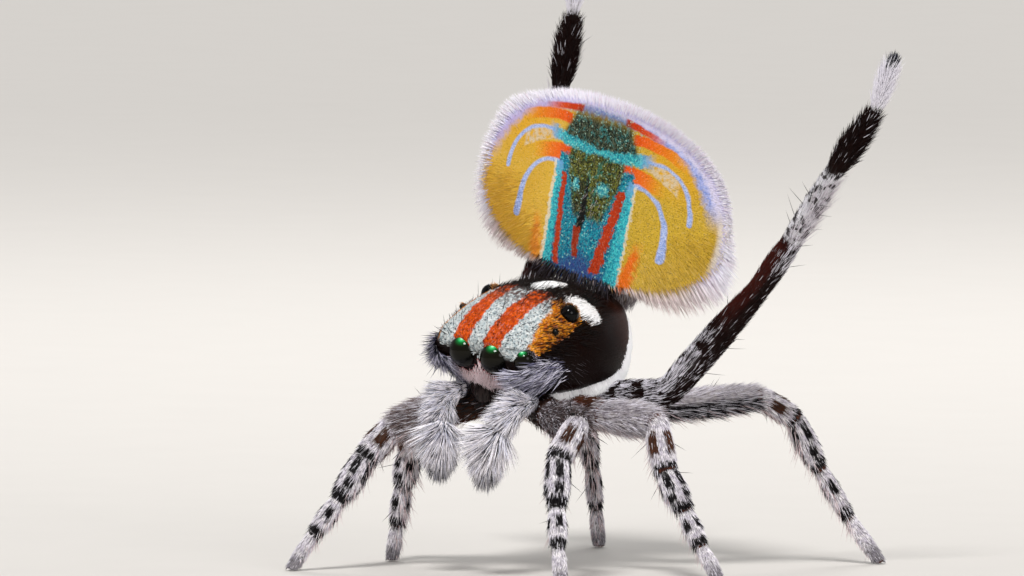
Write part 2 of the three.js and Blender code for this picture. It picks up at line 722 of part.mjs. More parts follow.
function fringe(fromAngle, toAngle, seed) {
  const random = seeded(seed);
  const locks = [];
  const onFan = (place, n) => fanPoint(place.l, place.u, fanBack(place.l) + n);
  const facing = fanPoint(0, 0, 1).sub(fanPoint(0, 0, 0));
  const middle = fanPoint(0, FAN.widest, 0);
  let walked = 0;
  let before = rimPlace(fromAngle);
  let tier = FRINGE.rear;
  for (let i = 1; i <= FRINGE.steps; i++) {
    const angle = mix(fromAngle, toAngle, i / FRINGE.steps);
    const here = rimPlace(angle);
    walked += Math.hypot(here.l - before.l, here.u - before.u);
    if (walked >= FRINGE.spacing) {
      walked = 0;
      tier = tier === FRINGE.rear ? FRINGE.fore : FRINGE.rear;
      const alongRim = onFan(here, 0).sub(onFan(before, 0)).normalize();
      const out = alongRim.clone().cross(facing).normalize();
      const root = onFan(here, fanThick(here.l) * tier.depth);
      if (out.dot(root.clone().sub(middle)) < 0) out.negate();
      const low = cornerShare(angle);
      const length = (FRINGE.length + FRINGE.corner * low) * vary(random, FRINGE.varied);
      const lean = v3(0, 0, -FRINGE.droop * (0.4 + low)).addScaledVector(facing, tier.lean);
      const width = FRINGE.width * vary(random, FRINGE.varied);
      locks.push(lock({ root, out, lean, side: alongRim, length, width, shape: LOCK.short }));
    }
    before = here;
  }
  return locks;
}

const FLAP_TOP = 69 * DEG; // where the rim passes from the middle plate to a flap
const FLAP_LOW = -66 * DEG;
const PLATE_START = FLAP_TOP + 3.5 * DEG; // the middle plate's own fringe starts a gap further

function fanFlap(side) {
  const half = Math.PI;
  const locks = side > 0 ? fringe(FLAP_LOW, FLAP_TOP, 11) : fringe(half - FLAP_TOP, half - FLAP_LOW, 12);
  return fused([fanPlate(flapColumns(side)), ...locks]);
}

// Abdomen: a long oval behind the plate, upright, its front end down at the waist

const ABDOMEN = {
  low: -1.12,
  high: 0.6,
  depth: 0.86,
  halfWidth: 0.52,
  ends: [0.05, 0.88], // of half a sine wave that shapes it from end to end
  fullness: 0.7,
  middle: [0.5, 0.44], // how far its axis lies behind the fan, below and above
  sag: 0.12, // further back at the waist
  sagReach: 0.35,
  sides: 18,
  stations: [0, 0.07, 0.18, 0.32, 0.48, 0.64, 0.8, 0.92, 1],
};

function abdomenRing(t) {
  const u = mix(ABDOMEN.low, ABDOMEN.high, t);
  const swell = Math.sin(Math.PI * mix(...ABDOMEN.ends, t)) ** ABDOMEN.fullness;
  const half = ABDOMEN.halfWidth * swell;
  const deep = (ABDOMEN.depth / 2) * swell;
  const sag = ABDOMEN.sag * (1 - smooth(clamp01(t / ABDOMEN.sagReach)));
  const middle = mix(...ABDOMEN.middle, t) + sag;
  const ring = [];
  for (let s = 0; s < ABDOMEN.sides; s++) {
    const angle = (s / ABDOMEN.sides) * 2 * Math.PI;
    ring.push(fanPoint(half * Math.cos(angle), u, middle + deep * Math.sin(angle)));
  }
  return ring;
}

function abdomen() {
  const half = FAN.plateHalf - GAP / 2;
  const columns = [-1, -0.5, 0, 0.5, 1].map((t) => t * half);
  const top = fringe(PLATE_START, Math.PI - PLATE_START, 13);
  const body = [loft(ABDOMEN.stations.map(abdomenRing)), fanPlate(columns), ...top];
  return fused(body, [prosoma(SHIELD, GAP)]);
}

const SMALL_SIDES = 10; // of the waist and the spinnerets

function pedicel() {
  const points = [headPoint(-0.9, 0, -0.42), fanPoint(0, -1.05, 0.52)];
  const spans = limbRings(points, [swelling(0.09, 0.08, 0.09, 0.5, [0.5])], SMALL_SIDES);
  const cuts = [prosoma(SHIELD, GAP), prosoma(STERNUM, GAP)];
  const lowest = ABDOMEN.stations.slice(0, 4).map(abdomenRing);
  return fused([limbPiece(spans, 0, 0, false, false)], [...cuts, loft(lowest)]);
}

// Spinnerets: a short blunt cone at the abdomen's raised end

function spinnerets() {
  const points = [fanPoint(0, ABDOMEN.high + GAP, 0.46), fanPoint(0, ABDOMEN.high + 0.17, 0.5)];
  const spans = limbRings(points, [swelling(0.1, 0.1, 0.04, 0.3, [0.3, 0.7])], SMALL_SIDES);
  return fused([limbPiece(spans, 0, 0, false, false)]);
}

// The whole animal

function buildNodes() {
  const nodes = {};
  const sockets = [];
  for (const [kind, eye] of Object.entries(EYES)) {
    for (const [side, sign] of [["left", 1], ["right", -1]]) {
      const centre = eyeCentre(eye, sign);
      const sides = eye.radius > SMALL_EYE ? 10 : 6;
      nodes[`eye_${kind}_${side}`] = [fused([ball(centre, eye.radius, sides, 7)]), "eye"];
      sockets.push(ball(centre, eye.radius + GAP, sides, 6));
    }
  }
  nodes.carapace = [fused([prosoma(SHIELD), ...faceHair()], sockets), "cuticle"];
  nodes.sternum = [fused([prosoma(STERNUM)], [prosoma(SHIELD, GAP)]), "cuticle"];
  nodes.jaw_left = [jaw(1), "paleSkin"];
  nodes.jaw_right = [jaw(-1), "paleSkin"];
  nodes.pedicel = [pedicel(), "cuticle"];
  nodes.abdomen = [abdomen(), "fanPlate"];
  nodes.fan_flap_left = [fanFlap(1), "fanGold"];
  nodes.fan_flap_right = [fanFlap(-1), "fanGold"];
  nodes.spinnerets = [spinnerets(), "greyHair"];
  for (const side of ["left", "right"]) {
    for (const [name, body] of Object.entries(palpNodes(side))) nodes[name] = [body, "whiteHair"];
  }
  for (const [name, joints] of Object.entries(LEGS)) {
    for (const [part, body] of Object.entries(legNodes(name, joints))) {
      nodes[part] = [body, part.includes("femur") ? "darkHair" : "greyHair"];
    }
  }
  return nodes;
}

const spider = new THREE.Group();
for (const [name, [body, finish]] of Object.entries(buildNodes())) {
  const [color, roughness, metalness] = PALETTE[finish];
  const material = new THREE.MeshStandardMaterial({ color, roughness, metalness });
  const mesh = new THREE.Mesh(geometryOf(body), material);
  mesh.name = name;
  spider.add(mesh);
}

// The origin lies on the floor under the middle of the whole animal's box.
const box = new THREE.Box3().setFromObject(spider, true);
const middle = box.getCenter(v3(0, 0, 0));
spider.position.set(-middle.x, -middle.y, -box.min.z);
const model = new THREE.Group();
model.add(spider);

export default model;
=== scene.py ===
# Peacock spider, an adult male in display: skin, eyes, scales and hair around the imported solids.
# Shapes are worked out in millimetres in the animal's own layout, then moved into the frame.

import math

import bmesh
import bpy
import numpy as np
from mathutils import Matrix, Vector


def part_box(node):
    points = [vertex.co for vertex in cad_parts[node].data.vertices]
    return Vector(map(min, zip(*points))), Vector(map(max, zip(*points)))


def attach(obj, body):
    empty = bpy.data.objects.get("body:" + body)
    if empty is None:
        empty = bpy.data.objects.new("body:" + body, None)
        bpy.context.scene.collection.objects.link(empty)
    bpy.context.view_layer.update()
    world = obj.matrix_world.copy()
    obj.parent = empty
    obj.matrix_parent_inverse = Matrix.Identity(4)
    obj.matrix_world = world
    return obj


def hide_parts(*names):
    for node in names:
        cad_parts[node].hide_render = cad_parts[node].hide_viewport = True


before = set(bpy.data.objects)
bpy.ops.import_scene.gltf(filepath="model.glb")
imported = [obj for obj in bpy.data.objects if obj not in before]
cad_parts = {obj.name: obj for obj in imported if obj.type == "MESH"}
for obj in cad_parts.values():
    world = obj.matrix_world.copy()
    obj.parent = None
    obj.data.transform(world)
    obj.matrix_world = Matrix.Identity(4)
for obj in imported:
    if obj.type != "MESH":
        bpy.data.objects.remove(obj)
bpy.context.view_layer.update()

MM = 0.001
FULL_TURN = 2 * math.pi


# Small helpers

def unit(v):
    return v / np.maximum(np.linalg.norm(v, axis=-1, keepdims=True), 1e-9)


def mix(a, b, t):
    return a + (b - a) * t


def ramp(x, low, high):
    """0 at low, 1 at high, smooth between; low may be the larger."""
    t = np.clip((x - low) / (high - low), 0, 1)
    return t * t * (3 - 2 * t)


def plateau(x, start, full, fade, end):
    """0 up to start, 1 from full to fade, 0 from end on."""
    return ramp(x, start, full) * ramp(x, end, fade)


def circle(count):
    """count angles, evenly round a full turn."""
    return np.arange(count) / count * FULL_TURN


def add_object(name, data):
    thing = bpy.data.objects.new(name, data)
    bpy.context.scene.collection.objects.link(thing)
    return thing


def turned(yaw, pitch, roll):
    z = Matrix.Rotation(math.radians(yaw), 3, "Z")
    x = Matrix.Rotation(math.radians(pitch), 3, "X")
    y = Matrix.Rotation(math.radians(roll), 3, "Y")
    return np.array(z @ x @ y)


# The animal's layout, in millimetres

HEAD_TURN = turned(0, 25, 10)
HEAD_HEIGHT = 2.61
FAN_TURN = turned(-1.5, -2.2, 11.9)
FAN_CENTRE = np.array([0.058, 0.796, 3.734])


def head_vector(f, l, u):
    return np.stack(np.broadcast_arrays(l, -np.asarray(f, float), u), -1) @ HEAD_TURN.T


def head_point(f, l, u):
    return head_vector(f, l, u) + np.array([0, 0, HEAD_HEIGHT])


def fan_vector(l, u, n):
    return np.stack(np.broadcast_arrays(l, n, u), -1).astype(float) @ FAN_TURN.T


def fan_point(l, u, n):
    return fan_vector(l, u, n) + FAN_CENTRE


# Surfaces: each stretch of skin is a grid of rings, closed round and at both ends.
# Every point also keeps its place on the animal, which the markings read.

class Skin:
    """A mesh in the making, of one tube or more."""
    def __init__(self, name):
        self.name = name
        self.points = []
        self.faces = []
        self.maps = []
        self.place = []
        self.along = []
        self.count = 0

    def tube(self, rings, place, along, tile=(0, 0, 1, 1)):
        """rings: (stations, sides, 3). place and along: a value for each of its points."""
        rows, sides, _ = rings.shape
        start = self.count
        low_u, low_v, high_u, high_v = tile

        def across(r):
            return mix(low_u, high_u, r / (rows - 1))

        def around(s):
            return mix(low_v, high_v, s / sides)

        middles = np.stack([rings[0].mean(0), rings[-1].mean(0)])
        self.points += [rings.reshape(-1, 3), middles]
        for kept, value in ((self.place, place), (self.along, along)):
            kept += [value.reshape(-1, 3), np.stack([value[0].mean(0), value[-1].mean(0)])]
        first, last = start + rows * sides, start + rows * sides + 1
        for r in range(rows - 1):
            for s in range(sides):
                a, b = start + r * sides + s, start + r * sides + (s + 1) % sides
                self.faces.append((a, b, b + sides, a + sides))
                u0, u1, v0, v1 = across(r), across(r + 1), around(s), around(s + 1)
                self.maps += [(u0, v0), (u0, v1), (u1, v1), (u1, v0)]
        for s in range(sides):
            after = (s + 1) % sides
            end = start + (rows - 1) * sides
            self.faces.append((first, start + after, start + s))
            self.maps += [(low_u, around(s + 0.5)), (low_u, around(s + 1)), (low_u, around(s))]
            self.faces.append((last, end + s, end + after))
            self.maps += [(high_u, around(s + 0.5)), (high_u, around(s)), (high_u, around(s + 1))]
        self.count += rows * sides + 2

    def build(self):
        """The mesh object, with its faces turned outwards and its place and unwrap kept on it."""
        points = np.concatenate(self.points)
        mesh = bpy.data.meshes.new(self.name)
        mesh.from_pydata(points.tolist(), [], self.faces)
        uv = mesh.uv_layers.new(name="OFBake")
        uv.data.foreach_set("uv", np.array(self.maps, np.float32).ravel())
        store(mesh, "place", np.concatenate(self.place))
        store(mesh, "along", np.concatenate(self.along))
        mesh.shade_smooth()
        thing = add_object(self.name, mesh)
        face_out(thing)
        return thing


def tube_skin(name, rings, place, along):
    """A skin of a single tube."""
    skin = Skin(name)
    skin.tube(rings, place, along)
    return skin.build()


def fetch(items, field, width=3):
    """A field of each of items, as rows of width numbers."""
    values = np.zeros(len(items) * width, np.float32)
    items.foreach_get(field, values)
    return values.reshape(-1, width).astype(float)


def points_of(thing):
    return fetch(thing.data.vertices, "co")


def store(mesh, name, values):
    values = np.asarray(values, np.float32)
    kind, field = ("FLOAT", "value") if values.ndim == 1 else ("FLOAT_VECTOR", "vector")
    kept = mesh.attributes.get(name) or mesh.attributes.new(name, kind, "POINT")
    kept.data.foreach_set(field, values.ravel())


def read(thing, name):
    return fetch(thing.data.attributes[name].data, "vector")


def normals(thing):
    return fetch(thing.data.vertex_normals, "vector")


def face_out(thing):
    work = bmesh.new()
    work.from_mesh(thing.data)
    bmesh.ops.recalc_face_normals(work, faces=work.faces)
    work.to_mesh(thing.data)
    work.free()


# Head and its shield

SHIELD = np.array([
    # forward, half width, top, lower edge, height of the widest line, squareness of the shoulders
    [1.0, 0.3, 0.12, -0.14, 0.0, 0.2],
    [0.97, 0.52, 0.19, -0.28, -0.06, 0.2],
    [0.86, 0.66, 0.26, -0.44, -0.14, 0.2],
    [0.65, 0.72, 0.33, -0.58, -0.3, 0.18],
    [0.4, 0.77, 0.355, -0.66, -0.44, 0.14],
    [0.12, 0.8, 0.335, -0.74, -0.54, 0.08],
    [-0.15, 0.79, 0.255, -0.79, -0.6, 0.0],
    [-0.4, 0.72, 0.12, -0.78, -0.62, -0.06],
    [-0.62, 0.61, -0.04, -0.73, -0.6, -0.06],
    [-0.82, 0.46, -0.2, -0.65, -0.54, -0.03],
    [-0.97, 0.3, -0.3, -0.57, -0.48, 0.0],
    [-1.05, 0.14, -0.38, -0.49, -0.44, 0.0],
])
STERNUM = np.array([
    [0.82, 0.16, -0.44, -0.7, -0.55, 0.1],
    [0.7, 0.3, -0.44, -0.85, -0.6, 0.1],
    [0.45, 0.38, -0.44, -0.95, -0.65, 0.1],
    [0.1, 0.42, -0.44, -1.0, -0.68, 0.1],
    [-0.3, 0.42, -0.44, -1.0, -0.68, 0.1],
    [-0.65, 0.36, -0.44, -0.93, -0.66, 0.1],
    [-0.88, 0.2, -0.46, -0.8, -0.62, 0.1],
])
COAT_DEPTH = 0.012  # how far the skin lies inside the solids' surface
UNDER_SQUARE = 0.8  # how square a section is below its widest line
SHIELD_STEPS = 8  # rings for each row of the shield
TILE_FILLED = 0.96  # how much of its strip of the unwrap a limb or an eye's rim fills


def smooth_rows(rows, steps):
    """The rows with steps smooth rows for each of theirs, on a curve through all of them."""
    padded = np.vstack([2 * rows[0] - rows[1], rows, 2 * rows[-1] - rows[-2]])
    made = []
    for i in range(len(rows) - 1):
        a, b, c, d = padded[i:i + 4]
        for t in np.arange(steps) / steps:
            curve = 2 * b + (c - a) * t + (2 * a - 5 * b + 4 * c - d) * t ** 2
            made.append((curve + (3 * b - a - 3 * c + d) * t ** 3) / 2)
    return np.array(made + [rows[-1]])


def head_rings(profile, grow, sides, steps):
    """Rings of the head, and each point's place as (left, forward, up) of the head itself."""
    rows = smooth_rows(profile, steps)
    angle = circle(sides)
    c, d = np.cos(angle), np.sin(angle)
    f, half, top, low, widest, shoulder = [rows[:, i:i + 1] for i in range(6)]
    reach = np.where(d > 0, top - widest, widest - low)
    square = np.where(d > 0, 1 - shoulder, UNDER_SQUARE)
    l = (half + grow) * np.sign(c) * np.abs(c) ** square
    u = widest + (reach + grow) * np.sign(d) * np.abs(d) ** square
    f = np.broadcast_to(f, l.shape)
    return head_point(f, l, u), np.stack([l, f, u], -1)


def backward_on(rings):
    """The direction from each ring to the next."""
    return unit(np.gradient(rings, axis=0))


def head_skin(name, profile, sides, steps):
    rings, place = head_rings(profile, -COAT_DEPTH, sides, steps)
    return tube_skin(name, rings, place, backward_on(rings))


# Eyes

EYES = {
    # forward, left, up, radius
    "front_middle": (1.0, 0.2, 0.0, 0.165),
    "front_side": (0.9, 0.515, 0.01, 0.115),
    "small": (0.505, 0.635, 0.142, 0.035),
    "rear": (0.15, 0.56, 0.14, 0.1),
}
# How far the ball's middle lies behind the eye's place
EYE_BACK = {"front_middle": 0.06, "front_side": 0.02, "small": 0.035, "rear": 0.045}
FAR_DEEPER = 0.05  # how much deeper the right side's eyes lie than the left side's
EYE_AHEAD = 0.5  # an eye looks this share as far to the side as it lies


def eye_facing(kind):
    f, l, u, _ = EYES[kind]
    return unit(np.array([f, l * EYE_AHEAD, u]))


def eye_centre(kind, side):
    f, l, u, _ = EYES[kind]
    out = eye_facing(kind)
    back = EYE_BACK[kind]
    back = back + (FAR_DEEPER if side < 0 and kind != "front_middle" else 0)
    return head_point(f - back * out[0], side * (l - back * out[1]), u)


low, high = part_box("eye_front_middle_left")
SHIFT = np.array((low + high) / 2) / MM - eye_centre("front_middle", 1)


# Limbs: joints from the body outwards, and the segments' radii

LEG_WIDTH = {
    1: (0.16, 0.19, 0.145, 0.135, 0.1, 0.08, 0.062),
    2: (0.16, 0.17, 0.135, 0.135, 0.1, 0.08, 0.062),
    3: (0.16, 0.155, 0.125, 0.115, 0.115, 0.08, 0.04),
    4: (0.15, 0.145, 0.12, 0.12, 0.088, 0.08, 0.062),
}
LEGS = {
    "leg_1_left": [
        [0.3, -0.36, 1.68], [0.72, -0.56, 1.6], [1.31, -0.88, 1.58], [1.3, -1.16, 1.245],
        [1.42, -1.32, 0.766], [1.533, -1.422, 0.375], [1.6, -1.458, 0],
    ],
    "leg_1_right": [
        [-0.3, -0.36, 1.74], [-0.7, -0.55, 1.62], [-1.2, -0.8, 1.449], [-1.351, -1.062, 1.144],
        [-1.507, -1.308, 0.708], [-1.681, -1.488, 0.359], [-1.846, -1.634, 0],
    ],
    "leg_2_left": [
        [0.3, -0.03, 1.66], [0.88, 0.0, 1.6], [1.51, 0.07, 1.57], [1.651, 0.059, 1.077],
        [1.86, 0.11, 0.68], [2.026, 0.163, 0.333], [2.19, 0.239, 0],
    ],
    "leg_2_right": [
        [-0.3, -0.03, 1.82], [-0.86, -0.08, 1.72], [-1.478, -0.24, 1.4], [-1.69, -0.03, 1.12],
        [-1.81, 0.0, 0.767], [-1.9, 0.013, 0.36], [-1.946, -0.012, 0],
    ],
    "leg_3_left": [
        [0.3, 0.33, 1.72], [1.15, 0.65, 1.79], [2.0, 1.04, 2.83], [2.32, 1.145, 3.285],
        [2.795, 1.27, 4.03], [3.22, 1.41, 4.643], [3.43, 1.46, 5.19],
    ],
    "leg_3_right": [
        [-0.3, 0.33, 1.92], [-0.92, 0.58, 1.98], [-0.95, 1.25, 3.25], [-0.93, 1.33, 3.84],
        [-0.885, 1.35, 4.75], [-0.762, 1.396, 5.474], [-0.688, 1.395, 6.05],
    ],
    "leg_4_left": [
        [0.26, 0.68, 1.8], [0.8, 0.98, 1.63], [1.37, 1.81, 1.72], [1.523, 2.15, 1.504],
        [1.626, 2.44, 0.974], [1.75, 2.75, 0.464], [1.98, 2.96, 0],
    ],
    "leg_4_right": [
        [-0.26, 0.68, 2.02], [-0.8, 0.98, 1.95], [-1.37, 1.81, 1.6], [-1.387, 2.245, 1.4],
        [-1.537, 2.58, 0.85], [-1.606, 2.72, 0.4], [-1.616, 2.777, 0],
    ],
}
PALPS = {
    "palp_left": [
        [0.3, -0.42, 1.78], [0.52, -0.72, 1.74], [0.55, -0.95, 1.72], [0.47, -1.1, 1.5],
        [0.36, -1.14, 1.3], [0.32, -1.148, 0.99],
    ],
    "palp_right": [
        [-0.28, -0.42, 1.84], [-0.42, -0.7, 1.84], [-0.46, -0.92, 1.77], [-0.32, -1.08, 1.52],
        [-0.3, -1.12, 1.36], [-0.308, -1.136, 1.04],
    ],
}
PALP_WIDTH = (0.09, 0.1, 0.11, 0.12, 0.13, 0.05)
LEG_PEAKS = (0.5, 0.4, 0.5, 0.4, 0.4, 0.45)  # where each segment is widest, as a share of its length
PALP_PEAKS = (0.6, 0.5, 0.5, 0.5, 0.4)
RAISED_ABOVE = 1.0  # a leg whose tip lies higher than this is a raised one
LIMB_SIDES = 20
LIMB_STEPS = 12  # rings for each segment
FOOT_CLEAR = 0.012  # the skin's foot ends this far above the floor
OUTWARDS = 0.8  # how far a standing leg's outer side leans outwards, for 1 upwards
ACROSS = 0.49  # the span of a point's place round a limb, each way from the limb's number


def swell(start, wide, end, peak):
    """A segment's radius along its length: it swells between narrower ends."""
    def width(t):
        side = np.where(t < peak, t / peak, (1 - t) / (1 - peak))
        rise = np.sin(np.clip(side, 0, 1) * math.pi / 2)
        return mix(np.where(t < peak, start, end), wide, rise)
    return width


def segments(ends, widest, peaks):
    """Each segment's radius along it, from the radii at its ends and its widest, and where that lies."""
    return [swell(a, wide, b, peak) for a, b, wide, peak in zip(ends, ends[1:], widest, peaks)]


def limb_widths(name):
    if name.startswith("palp"):
        base, femur, patella, tibia, tip, end = PALP_WIDTH
        ends = (base, patella * 0.8, patella * 0.9, tibia * 0.9, tibia * 0.9, end)
        return segments(ends, (femur, patella, tibia, tibia, tip), PALP_PEAKS)
    hip, femur, knee, tibia, meta, tarsus, tip = LEG_WIDTH[int(name.split("_")[1])]
    ends = (hip, hip * 0.92, knee * 0.9, knee * 0.85, meta * 0.8, tarsus * 0.8, tip)
    return segments(ends, (hip * 1.05, femur, knee, tibia, meta, tarsus), LEG_PEAKS)


def limb_path(joints, widths):
    """Places, directions, radii and segment counts along a limb, rounded a little at each joint."""
    joints = np.array(joints, float)
    at, radius, where = [], [], []
    for i, width in enumerate(widths):
        for t in np.arange(LIMB_STEPS) / LIMB_STEPS:
            at.append(mix(joints[i], joints[i + 1], t))
            radius.append(float(width(t)))
            where.append(i + t)
    at.append(joints[-1])
    radius.append(float(widths[-1](1.0)))
    where.append(len(widths))
    at, radius, where = np.array(at), np.array(radius), np.array(where)
    for _ in range(2):
        at[1:-1] = (at[:-2] + 2 * at[1:-1] + at[2:]) / 4
    return at, unit(np.gradient(at, axis=0)), radius, where


def limb_rings(joints, widths, outer):
    """Rings of a limb. Each point's place is (segments walked, towards outer, across)."""
    at, heading, radius, where = limb_path(joints, widths)
    radius = radius - COAT_DEPTH
    up = unit(outer - heading * (heading @ outer)[:, None])
    across = np.cross(heading, up)
    angle = circle(LIMB_SIDES)
    c, d = np.cos(angle)[None, :, None], np.sin(angle)[None, :, None]
    out = up[:, None] * c + across[:, None] * d
    rings = at[:, None] + out * radius[:, None, None]
    walked = np.broadcast_to(where[:, None], out.shape[:2])
    place = np.stack([walked, *np.broadcast_arrays(c[..., 0], d[..., 0], walked)[:2]], -1)
    return rings, place, np.broadcast_to(heading[:, None], rings.shape)


def outer_side(joints):
    """The way a limb's outer side faces: up and outwards, or straight outwards if it is raised."""
    joints = np.array(joints)
    knee = joints[2] * np.array([1, 1, 0])
    upward = 0.0 if joints[-1][2] > RAISED_ABOVE else 1.0
    return unit(unit(knee) * OUTWARDS + np.array([0, 0, upward]))


def limb_skin(name, limbs):
    skin = Skin(name)
    share = 1 / len(limbs)
    for i, (limb, joints) in enumerate(limbs.items()):
        joints = [list(p) for p in joints]
        joints[-1][2] = max(joints[-1][2], FOOT_CLEAR)
        rings, place, heading = limb_rings(joints, limb_widths(limb), outer_side(joints))
        rings[..., 2] = np.maximum(rings[..., 2], FOOT_CLEAR)
        place[..., 2] = place[..., 2] * ACROSS + i
        skin.tube(rings, place, heading, (0, i * share, 1, (i + TILE_FILLED) * share))
    return skin.build()



# Fan: the flat top of the abdomen and its flaps, one plate with a rounded rim

FAN = {
    "half_width": 1.67, "widest": -0.1, "rise": 0.99, "drop": 0.74, "power": 2.3,
    "sweep": 0.185, "sweep_power": 1.6, "root_thick": 0.1, "rim_thick": 0.045,
    "deep": 0.06,  # how deep, in shares of the solid's thickness, the skin lies in it
    "sides": 240,
}


def fan_rim(angle):
    """Left and up of the rim at an angle about the fan's middle, from the left side over the top."""
    c, d = np.cos(angle), np.sin(angle)
    power = 2 / FAN["power"]
    l = FAN["half_width"] * np.sign(c) * np.abs(c) ** power
    reach = np.where(d > 0, FAN["rise"], FAN["drop"])
    return l, FAN["widest"] + reach * np.sign(d) * np.abs(d) ** power


def fan_back(l):
    return FAN["sweep"] * (np.abs(l) / FAN["half_width"]) ** FAN["sweep_power"]


def fan_thick(l):
    return mix(FAN["root_thick"], FAN["rim_thick"], ramp(np.abs(l) / FAN["half_width"], 0, 1))


def fan_skin():
    """Rings run from the middle of the front out to the rim and back to the middle behind."""
    out = np.concatenate([np.linspace(0.02, 0.9, 36), np.linspace(0.915, 0.985, 6)])
    share = np.concatenate([out, [1.0], out[::-1]])
    deep = np.concatenate([np.full(len(out), FAN["deep"]), [0.5], np.full(len(out), 1 - FAN["deep"])])
    angle = circle(FAN["sides"])
    rim_l, rim_u = fan_rim(angle)
    l = share[:, None] * rim_l
    u = FAN["widest"] + share[:, None] * (rim_u - FAN["widest"])
    n = fan_back(l) + deep[:, None] * fan_thick(l)
    rings = fan_point(l, u, n)
    place = np.stack([l, u, np.broadcast_to(deep[:, None], l.shape)], -1)
    return tube_skin("fan", rings, place, unit(fan_vector(l, u - FAN["widest"], 0 * l)))


# Abdomen behind the plate, waist, jaws and spinnerets

ABDOMEN = {"low": -1.12, "high": 0.6, "depth": 0.86, "half_width": 0.52, "rings": 60, "sides": 64}
JAW_RADIUS = (0.12, 0.14, 0.06, 0.5)  # start, widest, end, and where it is widest
WAIST_RADIUS = (0.09, 0.08, 0.09, 0.5)
SPINNERET_RADIUS = (0.05, 0.055, 0.02, 0.3)
SMALL_SIDES, SMALL_RINGS = 24, 16
RIM_SIDES, RIM_RINGS = 48, 8


def abdomen_skin():
    t = np.linspace(0, 1, ABDOMEN["rings"])[:, None]
    angle = circle(ABDOMEN["sides"])
    u = mix(ABDOMEN["low"], ABDOMEN["high"], t)
    swelling = np.sin(math.pi * mix(0.05, 0.88, t)) ** 0.7
    half = ABDOMEN["half_width"] * swelling - COAT_DEPTH
    deep = ABDOMEN["depth"] / 2 * swelling - COAT_DEPTH
    middle = mix(0.5, 0.44, t) + 0.12 * (1 - ramp(t, 0, 0.35))
    l = half * np.cos(angle)
    n = middle + deep * np.sin(angle)
    u = np.broadcast_to(u, l.shape)
    rings = fan_point(l, u, n)
    return tube_skin("abdomen", rings, np.stack([l, u, n], -1), -backward_on(rings))


def straight_limb(skin, start, end, width, tile):
    t = np.linspace(0, 1, SMALL_RINGS)[:, None]
    at = mix(start, end, t)
    heading = unit(np.array(end) - start)
    helper = np.array([1.0, 0, 0]) if abs(heading[0]) < 0.8 else np.array([0, 1.0, 0])
    up = unit(np.cross(helper, heading))
    across = np.cross(heading, up)
    angle = circle(SMALL_SIDES)[None, :, None]
    out = up * np.cos(angle) + across * np.sin(angle)
    rings = at[:, None] + out * width(t)[:, None]
    place = np.broadcast_to(t[:, None], rings.shape).copy()
    skin.tube(rings, place, np.broadcast_to(heading, rings.shape), tile)


def small_skin():
    """Jaws, waist and spinnerets."""
    skin = Skin("jaws")
    for i, side in enumerate((1, -1)):
        top, tip = head_point(0.72, side * 0.16, -0.2), head_point(0.86, side * 0.16, -0.62)
        straight_limb(skin, top, tip, swell(*JAW_RADIUS), (0, i * 0.25, 1, i * 0.25 + 0.24))
    waist = head_point(-0.9, 0, -0.42), fan_point(0, -1.05, 0.52)
    straight_limb(skin, *waist, swell(*WAIST_RADIUS), (0, 0.5, 1, 0.74))
    for i, side in enumerate((1, -1)):
        low_v = 0.75 + i * 0.12
        root = fan_point(side * 0.035, ABDOMEN["high"], 0.46)
        tip = fan_point(side * 0.05, ABDOMEN["high"] + 0.16, 0.5)
        straight_limb(skin, root, tip, swell(*SPINNERET_RADIUS), (0, low_v, 1, low_v + 0.11))
    return skin.build()


def eye_rim_skin():
    """A low ring round each lens, from which its ring of hair grows."""
    skin = Skin("eye_rims")
    kinds = [(kind, side) for kind in EYES for side in (1, -1)]
    for i, (kind, side) in enumerate(kinds):
        f, l, u, radius = EYES[kind]
        out = eye_facing(kind)
        facing = head_vector(out[0], side * out[1], out[2])
        across = unit(np.cross(head_vector(0, 0, 1), facing))
        up = np.cross(facing, across)
        turn = circle(RIM_SIDES)[None, :, None]
        way = across * np.cos(turn) + up * np.sin(turn)
        t = np.linspace(0, 1, RIM_RINGS)[:, None, None]
        ring = radius * (0.95 + 0.1 * np.sin(t * math.pi) + 0.05 * (1 - t))
        rise = radius * mix(-0.6, 0.12, t)
        rings = eye_centre(kind, side) + way * ring + facing * rise
        place = np.broadcast_to([side * l, f, u], rings.shape).copy()
        tile = (0, i / len(kinds), 1, (i + TILE_FILLED) / len(kinds))
        skin.tube(rings, place, unit(way * 0.7 + facing + 0 * rings), tile)
    return skin.build()


# Node trees: an expression on values adds Math nodes

class Value:
    """What a socket of a node tree gives: a number, a colour or a vector."""
    def __init__(self, tree, socket):
        self.tree = tree
        self.socket = socket

    def math(self, operation, *others):
        return self.tree.node("ShaderNodeMath", {"operation": operation}, [self, *others])

    def __add__(self, other): return self.math("ADD", other)
    def __radd__(self, other): return self.math("ADD", other)
    def __sub__(self, other): return self.math("SUBTRACT", other)
    def __rsub__(self, other): return self.math("MULTIPLY", -1.0).math("ADD", other)
    def __mul__(self, other): return self.math("MULTIPLY", other)
    def __rmul__(self, other): return self.math("MULTIPLY", other)
    def __truediv__(self, other): return self.math("DIVIDE", other)
    def __pow__(self, other): return self.math("POWER", other)
    def __abs__(self): return self.math("ABSOLUTE")
    def low(self, other): return self.math("MINIMUM", other)
    def high(self, other): return self.math("MAXIMUM", other)

    def step(self, start, end):
        """0 at start, 1 at end, smooth between; start may be the larger."""
        if start > end:
            return 1 - self.step(end, start)
        settings = {"interpolation_type": "SMOOTHSTEP"}
        return self.tree.node("ShaderNodeMapRange", settings, [self, start, end, 0.0, 1.0])


